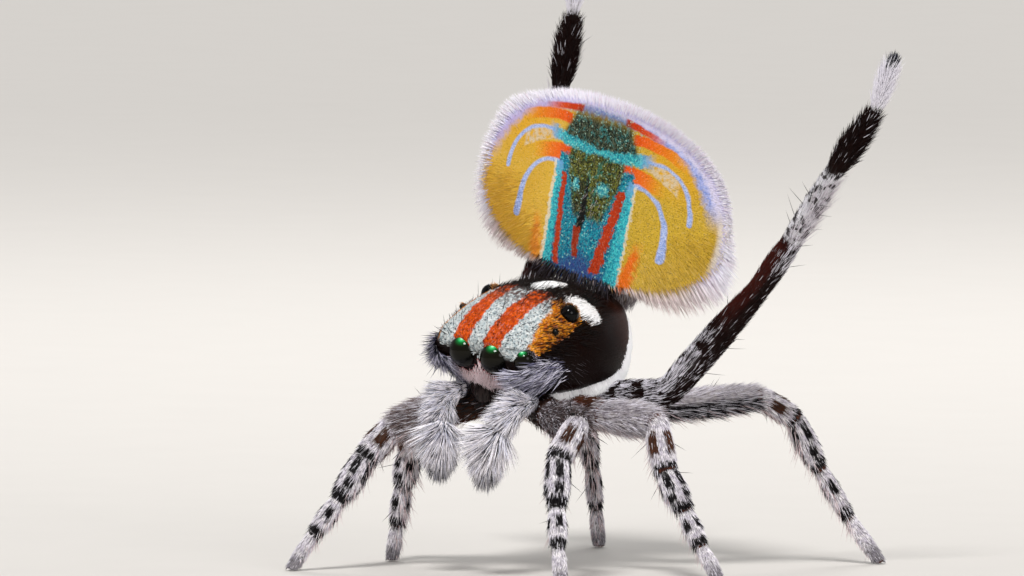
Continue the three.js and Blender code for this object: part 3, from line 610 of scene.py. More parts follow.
class Tree:
    """A node tree that is added to by one method."""
    def __init__(self, tree):
        self.tree = tree

    def node(self, kind, settings=None, inputs=(), output=0):
        """inputs: a list in the sockets' order, or a table from socket name or number."""
        made = self.tree.nodes.new(kind)
        for name, value in (settings or {}).items():
            setattr(made, name, value)
        pairs = inputs.items() if isinstance(inputs, dict) else enumerate(inputs)
        for name, value in pairs:
            self.feed(made.inputs[name], value)
        return Value(self, made.outputs[output])

    def feed(self, socket, value):
        if isinstance(value, Value):
            self.tree.links.new(value.socket, socket)
        else:
            socket.default_value = value


def colour(text):
    """A colour from its red, green and blue as six hexadecimal figures."""
    parts = [int(text[i:i + 2], 16) / 255 for i in (0, 2, 4)]
    linear = [p / 12.92 if p <= 0.04045 else ((p + 0.055) / 1.055) ** 2.4 for p in parts]
    return (*linear, 1.0)


class Finish(Tree):
    """A material."""
    def __init__(self, name, **constants):
        self.material = bpy.data.materials.new(name)
        self.material.use_nodes = True
        super().__init__(self.material.node_tree)
        self.surface = self.tree.nodes["Principled BSDF"]
        for socket, value in constants.items():
            self.surface.inputs[socket.replace("_", " ")].default_value = value

    def set(self, socket, value):
        self.feed(self.surface.inputs[socket], value)

    def attribute(self, name):
        return self.node("ShaderNodeAttribute", {"attribute_name": name}, output="Fac")

    def place(self):
        """The three numbers of a point's place on the animal."""
        vector = self.node("ShaderNodeAttribute", {"attribute_name": "place"}, output="Vector")
        split = self.node("ShaderNodeSeparateXYZ", {}, [vector]).socket.node
        return [Value(self, split.outputs[i]) for i in range(3)]

    def measured(self, centre, direction):
        """How far, in millimetres of the layout, the surface lies from centre along direction."""
        coords = self.node("ShaderNodeTexCoord", {}, [], output="Object")
        inputs = [coords, tuple(float(d) / MM for d in direction)]
        far = self.node("ShaderNodeVectorMath", {"operation": "DOT_PRODUCT"}, inputs, output="Value")
        return far - float((centre + SHIFT) @ direction)

    def mix(self, a, b, factor):
        """Colour a turning into b. Each is a colour or its six hexadecimal figures."""
        a, b = [colour(c) if isinstance(c, str) else c for c in (a, b)]
        settings = {"data_type": "RGBA", "clamp_factor": True}
        return self.node("ShaderNodeMix", settings, {0: factor, 6: a, 7: b}, output=2)

    def grain(self, size, detail=2.0):
        """Noise over the surface with features of about size, in millimetres."""
        coords = self.node("ShaderNodeTexCoord", {}, [], output="Object")
        inputs = {"Vector": coords, "Scale": 1 / (size * MM), "Detail": detail}
        return self.node("ShaderNodeTexNoise", {}, inputs)

    def wander(self, size, reach):
        """A soft, uneven shift to add to a place, so that markings don't end in straight lines."""
        return (self.grain(size) - 0.5) * reach

    def mottled(self, a, b, size, detail=2.0, edge=None):
        """Colour a with patches of b about size big, with a crisper edge where edge is given."""
        patches = self.grain(size, detail)
        return self.mix(a, b, patches.step(*edge) if edge else patches)

    def flecked(self, paint, pale, pale_share, dark, dark_share):
        """Some scales paler and some darker than the rest, by their own shade."""
        shade = self.attribute("shade")
        paint = self.mix(paint, pale, shade.step(0.75, 1.0) * pale_share)
        return self.mix(paint, dark, (1 - shade).step(0.8, 1.0) * dark_share)

    def bump(self, height, strength, distance):
        inputs = {"Height": height, "Strength": strength, "Distance": distance * MM}
        self.set("Normal", self.node("ShaderNodeBump", {}, inputs))


# Hair and scales: one Geometry Nodes tree sets small meshes on a skin, along its lie

STRAND_SIDES = 3


def closed_mesh(name, points, faces):
    """A strand or scale, with each point's share of the length and its place on its own small patch."""
    mesh = bpy.data.meshes.new(name)
    mesh.from_pydata(points, [], faces)
    sideways, _, tips = np.array(points, float).T
    store(mesh, "tip", tips)
    store(mesh, "patch", np.stack([sideways, tips - 0.5, 0 * tips], -1))
    return add_object(name, mesh)


def strand_mesh(name, stations, widths, flat=0.6, bend=0.25):
    """A closed, tapered strand one unit long along Z, which bends towards -Y."""
    angle = circle(STRAND_SIDES) + math.pi / 2
    points, faces = [], []
    for t, w in zip(stations, widths):
        for a in angle:
            points.append((w / 2 * math.cos(a), w / 2 * flat * math.sin(a) - bend * t * t, t))
    points.append((0, -bend, 1.0))
    last, sides = len(stations) - 1, range(STRAND_SIDES)
    for r in range(last):
        for s in sides:
            a, b = r * STRAND_SIDES + s, r * STRAND_SIDES + (s + 1) % STRAND_SIDES
            faces.append((a, b, b + STRAND_SIDES, a + STRAND_SIDES))
    end = last * STRAND_SIDES
    faces += [(end + s, end + (s + 1) % STRAND_SIDES, end + STRAND_SIDES) for s in sides]
    faces.append(tuple(reversed(sides)))
    return closed_mesh(name, points, faces)


def scale_mesh(name, outline, crown=0.12, bend=0.1):
    """A thin leaf-shaped scale one unit long along Z, with a raised middle."""
    points = [(x, -bend * t * t, t) for x, t in outline] + [(0, crown, 0.5)]
    count = len(outline)
    faces = [(i, (i + 1) % count, count) for i in range(count)] + [tuple(reversed(range(count)))]
    thing = closed_mesh(name, points, faces)
    face_out(thing)
    return thing


PATCH = 0.003  # the size of one strand's patch on the unwrap
HAIR_CLEAR = 0.002  # no hair lies lower than this above the floor
COAT_INPUTS = {
    "Geometry": "Geometry", "Strand": "Object", "Density": "Float", "Width": "Float",
    "Uneven": "Float", "Ruffled": "Float", "Seed": "Int", "Finish": "Material",
}
WIDTH_SPREAD = 0.25  # how much wider or narrower a strand may be
STREAMS = 31  # random streams of their own for each seed


def coat_tree():
    """Scatters strands on a skin. The skin's grow, size, lie and lift say how many, long and which way."""
    group = bpy.data.node_groups.new("coat", "GeometryNodeTree")
    for name, kind in COAT_INPUTS.items():
        group.interface.new_socket(name, in_out="INPUT", socket_type=f"NodeSocket{kind}")
    group.interface.new_socket("Geometry", in_out="OUTPUT", socket_type="NodeSocketGeometry")
    tree = Tree(group)
    given = group.nodes.new("NodeGroupInput")

    def named(name):
        return Value(tree, given.outputs[name])

    def kept(name, kind="FLOAT"):
        return tree.node("GeometryNodeInputNamedAttribute", {"data_type": kind}, {"Name": name})

    def keep(geometry, name, value, kind="FLOAT", domain="POINT"):
        settings = {"data_type": kind, "domain": domain}
        return tree.node("GeometryNodeStoreNamedAttribute", settings, [geometry, True, name, value])

    def vector(operation, inputs):
        return tree.node("ShaderNodeVectorMath", {"operation": operation}, inputs)

    def draw(stream, low=-1.0, high=1.0):
        """A random number for each strand."""
        return drawn(stream, "FLOAT", {2: low, 3: high}, 1)

    def drawn(stream, kind, limits, output):
        inputs = {**limits, 8: named("Seed") * STREAMS + stream}
        return tree.node("FunctionNodeRandomValue", {"data_type": kind}, inputs, output=output)

    inputs = {0: named("Geometry"), 4: named("Density") * kept("grow"), 6: named("Seed")}
    roots = tree.node("GeometryNodeDistributePointsOnFaces", {}, inputs)
    normal = Value(tree, roots.socket.node.outputs[1])
    marked = keep(roots, "shade", draw(1, 0.0))
    lift = kept("lift") * (1 + named("Ruffled") * draw(2))
    raised = vector("SCALE", {0: normal, 3: lift})
    anywhere = drawn(3, "FLOAT_VECTOR", {0: (-1, -1, -1), 1: (1, 1, 1)}, 0)
    stray = vector("SCALE", {0: anywhere, 3: named("Ruffled")})
    heading = vector("ADD", [vector("ADD", [kept("lie", "FLOAT_VECTOR"), raised]), stray])
    turn = tree.node("FunctionNodeAxesToRotation", {"primary_axis": "Z", "secondary_axis": "Y"},
                     [vector("NORMALIZE", [heading]), normal])
    length = kept("size") * (1 + named("Uneven") * draw(4))
    width = named("Width") * (1 + WIDTH_SPREAD * draw(5))
    size = tree.node("ShaderNodeCombineXYZ", {}, [width, named("Width"), length])
    strand = tree.node("GeometryNodeObjectInfo", {}, {"Object": named("Strand")}, output="Geometry")
    placed = tree.node("GeometryNodeInstanceOnPoints", {}, {0: marked, 2: strand, 5: turn, 6: size})
    real = tree.node("GeometryNodeRealizeInstances", {}, {0: placed})
    small = vector("SCALE", {0: kept("patch", "FLOAT_VECTOR"), 3: PATCH})
    spot = vector("ADD", [kept("unwrap", "FLOAT_VECTOR"), small])
    mapped = keep(real, "OFBake", spot, "FLOAT2", "CORNER")
    finished = tree.node("GeometryNodeSetMaterial", {}, {0: mapped, 2: named("Finish")})
    result = group.nodes.new("NodeGroupOutput")
    tree.feed(result.inputs[0], finished)
    return group


COAT = coat_tree()


def grow_coat(name, skin, finish, grow, size, lie, lift):
    """A piece of COATS on a skin, as a plain mesh. grow, size, lie and lift: a value for each point."""
    slot, strand, density, width, uneven, ruffled, seed = COATS[name]
    count = len(skin.data.vertices)
    for kind, value in (("grow", grow), ("size", size), ("lift", lift)):
        store(skin.data, kind, np.broadcast_to(np.asarray(value, float), (count,)))
    store(skin.data, "lie", lie)
    coat = skin.modifiers.new("coat", "NODES")
    coat.node_group = COAT
    values = {
        "Strand": strand, "Density": float(density), "Width": float(width), "Uneven": float(uneven),
        "Ruffled": float(ruffled), "Seed": int(seed), "Finish": finish.material,
    }
    for item in COAT.interface.items_tree:
        if item.in_out == "INPUT" and item.name in values:
            coat[item.identifier] = values[item.name]
    skin.update_tag()
    graph = bpy.context.evaluated_depsgraph_get()
    grown = bpy.data.meshes.new_from_object(skin.evaluated_get(graph), depsgraph=graph)
    skin.modifiers.remove(coat)
    drop_attributes(grown, ("grow", "size", "lie", "lift", "patch", "along"))
    thing = add_object(name, grown)
    points = points_of(thing)
    points[:, 2] = np.maximum(points[:, 2], HAIR_CLEAR)
    grown.vertices.foreach_set("co", points.astype(np.float32).ravel())
    print(f"{name}: {sum(len(p.vertices) - 2 for p in grown.polygons)} triangles")
    finish_piece(thing)


def drop_attributes(mesh, names):
    for name in names:
        if name in mesh.attributes:
            mesh.attributes.remove(mesh.attributes[name])


def keep_unwrap(skin):
    """A copy of the skin's unwrap that its hair roots can read."""
    mesh = skin.data
    spread = np.zeros((len(mesh.loops), 3), np.float32)
    spread[:, :2] = fetch(mesh.uv_layers["OFBake"].data, "uv", 2)
    mesh.attributes.new("unwrap", "FLOAT_VECTOR", "CORNER").data.foreach_set("vector", spread.ravel())


# Finished pieces

def place_in_frame(thing):
    thing.data.transform(Matrix.Scale(MM, 4) @ Matrix.Translation(Vector(SHIFT)))
    thing.data.update()


def finish_piece(thing, nodes=()):
    place_in_frame(thing)
    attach(thing, "root")
    if nodes:
        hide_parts(*nodes)


def joined(name, things):
    """One object from several, each with its own materials."""
    bpy.ops.object.select_all(action="DESELECT")
    for thing in things:
        thing.select_set(True)
    bpy.context.view_layer.objects.active = things[0]
    bpy.ops.object.join()
    things[0].name = name
    things[0].data.name = name
    return things[0]


# Finishes of the fan: markings in the fan's own left and up, in millimetres

SOFT = 0.012  # the width over which a marking's edge fades
CRISP = (0.3, 0.7)  # the edge of clear-cut patches in mottled colours
MIDLINE = -0.06  # the left of the markings' middle line


def between(value, start, end, soft=SOFT):
    """1 from start to end, 0 outside."""
    return value.step(start - soft, start + soft) * value.step(end + soft, end - soft)


def within(value, half, soft=SOFT):
    """1 closer than half to 0, on either side."""
    return (abs(value) - half).step(soft, -soft)


def stripe(l, u, top, bottom, half):
    """A stripe that runs down from top to bottom, each (left, up), with its half width at both."""
    share = (top[1] - u) / (top[1] - bottom[1])
    middle = top[0] + (bottom[0] - top[0]) * share
    wide = half[0] + (half[1] - half[0]) * share
    return within(l - middle, wide) * between(u, bottom[1], top[1])


def bar(wing, u, start, end, half, bow=0.0):
    """A bar that runs outwards from start to end, each (out, up), bowed upwards."""
    share = (wing - start[0]) / (end[0] - start[0])
    middle = start[1] + (end[1] - start[1]) * share + 4 * bow * share * (1 - share)
    wide = half[0] + (half[1] - half[0]) * share
    return within(u - middle, wide) * between(wing, start[0], end[0], 2 * SOFT)


def hook(wing, u, start, middle, reach, low, half):
    """A line that runs out from start, bends over round middle and hangs down to low."""
    side = (wing - middle[0]).high(0) / reach[0]
    rise = (u - middle[1]).high(0) / reach[1]
    far = (side * side + rise * rise) ** 0.5
    wide = half[0] + (half[1] - half[0]) * u.step(middle[1] + reach[1], low)
    end = ((low + half[1] - u) / half[1]).high(0).low(1)
    line = within((far - 1) * reach[0], wide * (1 - end * end) ** 0.5)
    return line * u.step(low - SOFT, low + SOFT) * wing.step(start - SOFT, start + SOFT)


def blob(l, u, middle, reach, soft=0.12):
    """1 inside an oval."""
    x = (l - middle[0]) / reach[0]
    y = (u - middle[1]) / reach[1]
    return (x * x + y * y).step(1 + soft, 1 - soft)


ORANGE_BARS = [
    # colours near and far from the middle, start, end, half widths, bow
    ("d83c08", "dc5a14", (0.3, 0.81), (0.86, 0.72), (0.036, 0.026), 0.0),
    ("ee5a08", "eaaa18", (0.44, 0.66), (1.2, 0.5), (0.055, 0.06), 0.06),
    ("f25408", "eba51c", (0.36, 0.31), (0.94, 0.22), (0.085, 0.07), 0.03),
]
BLUE_LINES = [
    # start, middle and reach of the bend, lower end, half widths above and below
    (0.5, (0.56, -0.24), (0.45, 0.45), -0.48, (0.02, 0.052)),
    (0.66, (0.78, 0.0), (0.5, 0.49), -0.04, (0.018, 0.032)),
]


def fan_colours(look):
    """The display's pattern, alike on skin and scales, with how deep it lies and how it glitters."""
    deep = look.place()[2]
    left = look.measured(FAN_CENTRE, FAN_TURN[:, 0])
    up = look.measured(FAN_CENTRE, FAN_TURN[:, 2])
    sway = look.wander(0.2, 0.05)
    l, u = left + sway, up + sway
    wing = abs(l - MIDLINE)
    speck = look.grain(0.014, 1)
    paint = rim_colours(look, gold_colours(look, l, wing, u, speck), l, wing, u)
    for near, far, start, end, half, bow in ORANGE_BARS:
        outwards = ((wing - start[0]) / (end[0] - start[0])).high(0)
        tone = look.mix(near, far, outwards ** 1.6)
        fade = wing.step(end[0], end[0] - 0.28)
        paint = look.mix(paint, tone, bar(wing, u, start, end, half, bow) * fade ** 0.5)
    pale = look.mix("8fa6e0", "c6d2f4", speck.step(0.35, 0.65))
    for line in BLUE_LINES:
        paint = look.mix(paint, pale, hook(wing, u, *line))
    return *plate_colours(look, paint, l, u, wing, speck), deep


def gold_colours(look, l, wing, u, speck):
    """The flaps' ground: gold, painted lighter on one side and darker, as painted shade, on the other,
    deeper above, creamy between the bars, flaming orange at the base.
    """
    # Painted light and shade: a lighter gold and a darker one, blended across the fan from side to side; the
    # darker also has fine dark specks.
    gold_painted_lit = look.mottled("d6a42c", "e8bd44", 0.3)
    gold_painted_shade = look.mottled("c8a22a", "dfb93c", 0.06)
    gold_painted_shade = look.mix(gold_painted_shade, "5d4808", speck.step(0.58, 0.68) * 0.6)
    gold = look.mix(gold_painted_lit, gold_painted_shade, l.step(-0.2, 0.4))
    deeper = wing.step(0.5, 0.9) * u.step(0.0, 0.45) * wing.step(1.5, 1.2)
    gold = look.mix(gold, "e9a90c", deeper * 0.6)
    cream = bar(wing, u, (0.5, 0.47), (1.08, 0.32), (0.05, 0.1), 0.04) * look.grain(0.05).step(0.3, 0.6)
    gold = look.mix(gold, "dccdb4", cream * 0.75)
    flame = look.wander(0.04, 0.14)
    lean = wing + flame - (0.66 + 0.22 * (u + 0.6))
    wide = 0.05 + 0.05 * u.step(-0.45, -0.85)
    base = within(lean, wide, 0.05) * u.step(-0.3, -0.5) * (0.55 + 0.45 * l.step(-0.2, 0.2))
    return look.mix(gold, "ee6e08", base * 0.95)


def rim_colours(look, paint, l, wing, u):
    """Blue inside the upper rim, then lilac; cream below."""
    power = FAN["power"]
    out = (wing / FAN["half_width"]) ** power + (abs(u - FAN["widest"]) / FAN["rise"]) ** power
    upper = u.step(-0.05, 0.3)
    rough = look.wander(0.05, 0.16)
    blue = look.mottled("8698d8", "b9c0ee", 0.03, edge=CRISP)
    blue = look.mix("c3b2dc", blue, l.step(-0.9, 0.0))
    paint = look.mix(paint, blue, (out + rough).step(0.7, 0.84) * upper)
    paint = look.mix(paint, "ddd6ee", (out + rough).step(0.84, 0.96) * upper)
    low = (1 - upper) * u.step(-0.55, -0.25)
    return look.mix(paint, "e8ddd0", out.step(0.9, 1.0) * low)


def sparkle(look, size):
    """A random number for each scale-sized cell."""
    coords = look.node("ShaderNodeTexCoord", {}, [], output="Object")
    inputs = {"Vector": coords, "Scale": 1 / (size * MM)}
    cell = look.node("ShaderNodeTexVoronoi", {}, inputs, output="Color")
    return Value(look, look.node("ShaderNodeSeparateXYZ", {}, [cell]).socket.node.outputs[0])


SIDE_STRIPES = {
    # side: half widths of the turquoise stripe, lower end and half widths of the red one
    1: ((0.045, 0.085), (0.16, -0.77), (0.055, 0.07)),
    -1: ((0.045, 0.05), (-0.39, -0.8), (0.035, 0.042)),
}
BRIGHT_SPOTS = [((-0.285, 0.045), (0.05, 0.065)), ((0.09, 0.07), (0.08, 0.07))]


def plate_colours(look, paint, l, u, wing, speck):
    """The middle plate: dark green above, turquoise bands, red stripes and a black slit below."""
    tint = sparkle(look, 0.014)
    ragged = look.wander(0.035, 0.09)
    l, u, wing = l + ragged, u - ragged, wing + ragged
    cyan = look.mix("0c86a4", "4fdcdc", tint)
    paint, plate, shown = plate_ground(look, paint, u, wing, tint, speck, ragged)
    paint = look.mix(paint, "07090a", stripe(l, u, (-0.19, 0.1), (-0.2, -0.3), (0.07, 0.05)) * 0.55)
    band = within(u - 0.425 - 0.14 * wing * wing, 0.032 + 0.055 * wing, 0.02) * wing.step(0.78, 0.6)
    paint = look.mix(paint, look.mix(cyan, "6aa6dc", wing.step(0.5, 0.7)), band * 0.95)
    # Painted glints: a few scale-sized cells turned pale white-green over the plate.
    paint = look.mix(paint, "c8f0d8", tint.step(0.95, 0.97) * shown * 0.5)
    paint = side_stripes(look, paint, l, u, cyan, speck)
    shine = look.mix(cyan, "a8f4e8", tint.step(0.5, 1.0))
    for spot, reach in BRIGHT_SPOTS:
        paint = look.mix(paint, shine, blob(l + ragged, u, spot, reach, 0.8) * 0.85)
    paint = look.mix(paint, "060706", stripe(l, u, (-0.105, 0.14), (-0.14, -0.42), (0.014, 0.055)))
    paint = look.mix(paint, "a8300a", stripe(l, u, (-0.16, -0.36), (-0.135, -0.68), (0.055, 0.035)))
    return look.mix(paint, "0c1216", speck.step(0.68, 0.76) * plate * 0.6), shown


def plate_ground(look, paint, u, wing, tint, speck, ragged):
    """Blue below, green above and olive between them, with where the lower plate and the whole lie."""
    blue = look.mix("0a4a78", "22b4c4", tint)
    blue = look.mix(blue, "403f98", (u + wing * 0.5).step(-0.5, -0.72) * 0.75)
    blue = look.mix(blue, "0a1a22", speck.step(0.6, 0.7) * 0.7)
    green = look.mix("141e16", "4d5a44", tint.step(0.1, 0.95))
    green = look.mix(green, "3c8e8c", look.grain(0.05).step(0.52, 0.62) * tint)
    olive = look.mix("1c220c", "7a7c2e", tint.step(0.1, 1.0))
    olive = look.mix(olive, "1f7a6c", look.grain(0.06).step(0.5, 0.62) * tint)
    plate = (wing - (0.5 + 0.05 * u)).step(SOFT, -SOFT) * u.step(-0.95, -0.9)
    paint = look.mix(paint, blue, plate * u.step(0.34, 0.3))
    top_half = 0.52 - 0.5 * (u - 0.5).high(0)
    top = between(u, 0.42, 0.95, 0.04) * (wing - top_half).step(0.04, -0.04)
    top = top * (u + ragged).step(0.9, 0.68)
    paint = look.mix(paint, green, top)
    taper = 0.2 + 0.18 * u.step(-0.3, 0.28)
    middle = between(u, -0.26, 0.42, 0.04) * (wing - taper).step(0.03, -0.03)
    return look.mix(paint, olive, middle), plate, plate.high(top)


def side_stripes(look, paint, l, u, cyan, speck):
    """On each side of the plate a cream edge, a turquoise stripe and a red one."""
    cream = look.mix("e4dcc0", "f2eee4", speck)
    red = look.mix(look.mottled("b12c06", "d8440c", 0.05), "3c1208", speck.step(0.66, 0.74) * 0.8)
    turquoise = look.mix(cyan, "74aede", u.step(0.0, 0.25))
    for side, (wide, low, red_wide) in SIDE_STRIPES.items():
        top, end = (side * 0.56 + MIDLINE, 0.22), (side * 0.52 + MIDLINE, -0.84)
        paint = look.mix(paint, cream, stripe(l, u, top, end, (0.022, 0.03)) * 0.7)
        top, end = (side * 0.5 + MIDLINE, 0.22), (side * 0.45 + MIDLINE, -0.86)
        paint = look.mix(paint, turquoise, stripe(l, u, top, end, wide))
        paint = look.mix(paint, red, stripe(l, u, (side * 0.41 - 0.065, 0.11), low, red_wide))
    return paint


def with_pale_back(look, front, deep):
    """The fan's back is pale and greyish."""
    pale = look.mottled("d8cfc6", "a9998f", 0.08, 3)
    return look.mix(front, pale, deep.step(0.45, 0.55))


def fan_skin_finish():
    look = Finish("fan_skin", Roughness=0.6, Specular_IOR_Level=0.2)
    front, _, deep = fan_colours(look)
    look.set("Base Color", with_pale_back(look, front, deep))
    look.bump(look.grain(0.02), 0.4, 0.01)
    return look


def fan_scale_finish(name="fan_scale", roughness=0.5):
    look = Finish(name, Roughness=roughness, Specular_IOR_Level=0.3)
    front, glitter, deep = fan_colours(look)
    tone = look.flecked(front, "fff2cc", 0.1, "1a1206", 0.25)
    look.set("Base Color", with_pale_back(look, tone, deep))
    look.set("Metallic", glitter * deep.step(0.55, 0.45) * 0.35)
    return look


def fringe_finish():
    """Lilac-white hair round the rim; at the lower corners it grows out of the gold."""
    look = Finish("fringe", Roughness=0.5, Specular_IOR_Level=0.2)
    _, up, _ = look.place()
    shade, tip = look.attribute("shade"), look.attribute("tip")
    low = up.step(-0.35, -0.75)
    root = look.mix("bdb8e4", "b8901c", low)
    end = look.mix("f8f5fc", "ecdcd8", low)
    tone = look.mix(root, end, tip.step(0.0, 0.55))
    tone = look.mix(tone, "e2bccb", shade.step(0.6, 1.0) * 0.4)
    look.set("Base Color", look.mix(tone, "6a5038", (1 - shade).step(0.8, 0.95) * low * 0.8))
    return look


def hair_finish(name, root, tip, pale, share=0.6, roughness=0.55, painted_light=0.0):
    """Plain hair: darker at the root, with some strands paler; an emission, where given, is painted light
    that brightens its side in shade.
    """
    look = Finish(name, Roughness=roughness, Specular_IOR_Level=0.15, Emission_Strength=painted_light)
    tone = look.mix(root, tip, look.attribute("tip"))
    tone = look.mix(tone, pale, look.attribute("shade").step(0.5, 1.0) * share)
    look.set("Base Color", tone)
    look.set("Emission Color", tone)
    return look


# Finishes of the head, in its own left, forward and up

PATCH_MIDDLE, PATCH_REACH = (0.485, -0.1), (0.14, 0.18)  # the white patch behind the rear eye
CROWN_MIDDLE, CROWN_REACH = (0.07, -0.13), (0.1, 0.25)  # the white crescent behind the stripes


def shield_colours(look):
    """Grey-white and orange stripes that run back from the eyes, white patches behind."""
    left, forward, up = look.place()
    wander = look.wander(0.05, 0.1)
    l, f = left + wander, forward + wander
    wing = abs(l)
    speck = look.grain(0.02)
    fleck = speck.step(0.56, 0.64)
    white = look.mottled("a2b0b4", "e2e4e2", 0.03, edge=CRISP)
    white = look.mix(white, "1c242c", fleck * 0.9)
    orange = look.mottled("b43a04", "de5a06", 0.035, edge=CRISP)
    orange = look.mix(orange, "4a1606", fleck * 0.75)
    amber = look.mottled("b0560a", "ec9a20", 0.06, edge=CRISP)
    amber = look.mix(amber, "3a1406", fleck * 0.6)
    black = look.mix("070404", "1a0f0b", speck)
    edge = 0.44 + 0.09 * f.step(0.4, 0.9)
    paint = look.mix(amber, white, (wing - edge).step(0.015, -0.015))
    paint = look.mix(paint, amber, wing.step(0.33, 0.37) * (f + wing * 0.3).step(0.36, 0.26))
    inner, outer = 0.085 + 0.03 * f.step(0.9, 0.3), 0.305 - 0.03 * f.step(0.7, 1.0)
    striped = (wing - inner).step(-SOFT, SOFT) * (wing - outer).step(SOFT, -SOFT)
    paint = look.mix(paint, orange, striped)
    dusky = (f + 0.35 * wing).step(0.6, 0.3) * look.grain(0.045).step(0.4, 0.55)
    paint = look.mix(paint, look.mix(black, "7a3418", 0.35), dusky * 0.85)
    paint = look.mix(paint, black, (f + 0.35 * wing).step(0.26, 0.12))
    paint = look.mix(paint, amber, blob(wing, f, (0.54, 0.16), (0.17, 0.17)))
    snow = look.mix("dddcdc", "ffffff", speck)
    paint = look.mix(paint, snow, blob(l, f, CROWN_MIDDLE, CROWN_REACH))
    paint = look.mix(paint, snow, blob(wing, f, PATCH_MIDDLE, PATCH_REACH))
    return paint, forward, up


def shield_scale_finish():
    look = Finish("shield_scale", Roughness=0.65, Specular_IOR_Level=0.12)
    paint = shield_colours(look)[0]
    look.set("Base Color", look.flecked(paint, "ffffff", 0.1, "0a0605", 0.45))
    return look


def shield_skin_finish():
    look = Finish("shield_skin", Roughness=0.24, Specular_IOR_Level=0.06)
    paint, forward, up = shield_colours(look)
    bare = look.mottled("080201", "160704", 0.4, 3)
    # Painted reflection: a warm brown sheen on the bare side of the head, low and towards the rear.
    painted_light = forward.step(-0.15, -0.95) * up.step(-0.05, -0.65)
    bare = look.mix(bare, "5a2406", painted_light * 0.6)
    scaled = up.step(0.02, 0.1) * forward.step(-0.5, -0.35)
    look.set("Base Color", look.mix(bare, look.mix(paint, "140a06", 0.4), scaled))
    pits = look.grain(0.014, 1).step(0.35, 0.6)
    look.bump(pits + look.grain(0.1), 0.3, 0.004)
    return look


def cuticle_finish(name, dark, bright, roughness=0.38):
    look = Finish(name, Roughness=roughness, Specular_IOR_Level=0.35)
    look.set("Base Color", look.mottled(dark, bright, 0.25, 3))
    look.bump(look.grain(0.02), 0.3, 0.005)
    return look


PAINTED_GLEAM_WAY = (0.085, 0.244, 0.959)  # the way that the painted green highlight of the front eyes faces


def lens_finish():
    """Black; on the front eyes a painted olive sheen grows towards a painted emerald highlight near their
    top, which has a pale painted core.
    """
    look = Finish("lens", Roughness=0.05, Specular_IOR_Level=0.16)
    facing = look.place()
    toward_painted_gleam = sum((part * share for part, share in zip(facing, PAINTED_GLEAM_WAY)), start=0.0)
    olive = look.mix("010101", "100e05", toward_painted_gleam.step(-0.4, 0.8) ** 2)
    green = look.mix(olive, "0c7a34", toward_painted_gleam.step(0.74, 1.0) ** 4)
    green = look.mix(green, "48dc86", toward_painted_gleam.step(0.93, 1.0) ** 2)
    look.set("Base Color", look.mix(green, "d8ffe6", toward_painted_gleam.step(0.982, 0.998)))
    return look


def rim_finish():
    """The hair that rings an eye: lilac-white in front, amber behind."""
    look = Finish("eye_rim_hair", Roughness=0.55, Specular_IOR_Level=0.15)
    _, forward, _ = look.place()
    front = look.mix("8f8796", "ece6ee", look.attribute("tip"))
    rear = look.mix("a85a16", "f0bc78", look.attribute("tip"))
    look.set("Base Color", look.mix(rear, front, forward.step(0.6, 0.8)))
    return look


def face_finish():
    """Long hair of cheek and face: pinkish white in the middle, grey and lilac at the sides."""
    look = Finish("face_hair", Roughness=0.5, Specular_IOR_Level=0.2)
    left, _, up = look.place()
    wing = abs(left)
    tip, shade = look.attribute("tip"), look.attribute("shade")
    side = look.mix("14121c", "8583a0", tip.step(0.0, 0.6))
    side = look.mix(side, "e4e0ee", (shade * tip.step(0.0, 0.4)).step(0.5, 0.6))
    middle = look.mix("b45c60", "f8e4e8", tip.step(0.0, 0.3))
    paint = look.mix(middle, side, (wing - 0.25 * up).step(0.28, 0.46))
    dark = (1 - shade).step(0.66, 0.72) * (0.2 + 0.75 * wing.step(0.3, 0.45))
    look.set("Base Color", look.mix(paint, "0c0a10", dark))
    return look


# Finishes of the limbs. A limb's place is (segments walked, towards its outer side, limb number with
# up to ACROSS added or taken off on the way round it). The hip ends at 1 segment, the femur at 2, the
# knee at 3, the tibia at 4, the next at 5 and the foot at 6. Each finish also says how many strands
# are pale whatever the marking.

def lobes(c, count):
    """The cosine of count times the angle whose cosine is c: peaks set evenly round a limb."""
    before, now = 1.0, c
    for _ in range(count - 1):
        before, now = now, 2 * c * now - before
    return now


SPOTS = [
    # rows of dark spots: where they start and end, how many lie round the leg
    (2.2, 2.65, 4), (3.08, 3.42, 5), (3.5, 3.72, 4), (4.18, 4.48, 4),
]
RINGS = [(2.84, 3.04), (3.76, 3.99), (4.72, 4.95)]


def standing_colours(look):
    """Streaked femora, then pale with dark rings and spots; with the share of pale strands."""
    walked, outer, number = look.place()
    ragged = look.wander(0.05, 0.2)
    w = walked + ragged
    pale = look.mottled("c9c2cd", "fbf6f8", 0.05, edge=CRISP)
    dark = look.mottled("050406", "161014", 0.05, 1)
    brown = look.mottled("2c150c", "5e3a28", 0.1, 1)
    hind = number.step(3.45, 3.55)
    under = (outer + ragged).step(0.3, -0.1)
    streaks = 0.15 + 0.5 * number.step(1.49, 1.51)
    femur = look.mix(look.mix(brown, pale, streaks), dark, hind * under)
    paint = look.mix(pale, femur, between(w, 0.9, 2.02, 0.05))
    paint = look.mix(paint, brown, w.step(1.0, 0.8))
    for start, end, count in SPOTS:
        round_leg = (lobes(outer, count) + ragged).step(-0.35, 0.0)
        paint = look.mix(paint, brown if start < 3 else dark, between(w, start, end, 0.03) * round_leg)
    for start, end in RINGS:
        paint = look.mix(paint, dark, between(w, start, end, 0.025))
    paint = look.mix(paint, "67626a", w.step(5.45, 5.75) * 0.7)
    return paint, walked, 0.07 + 0.25 * between(walked, 0.8, 2.0, 0.1)


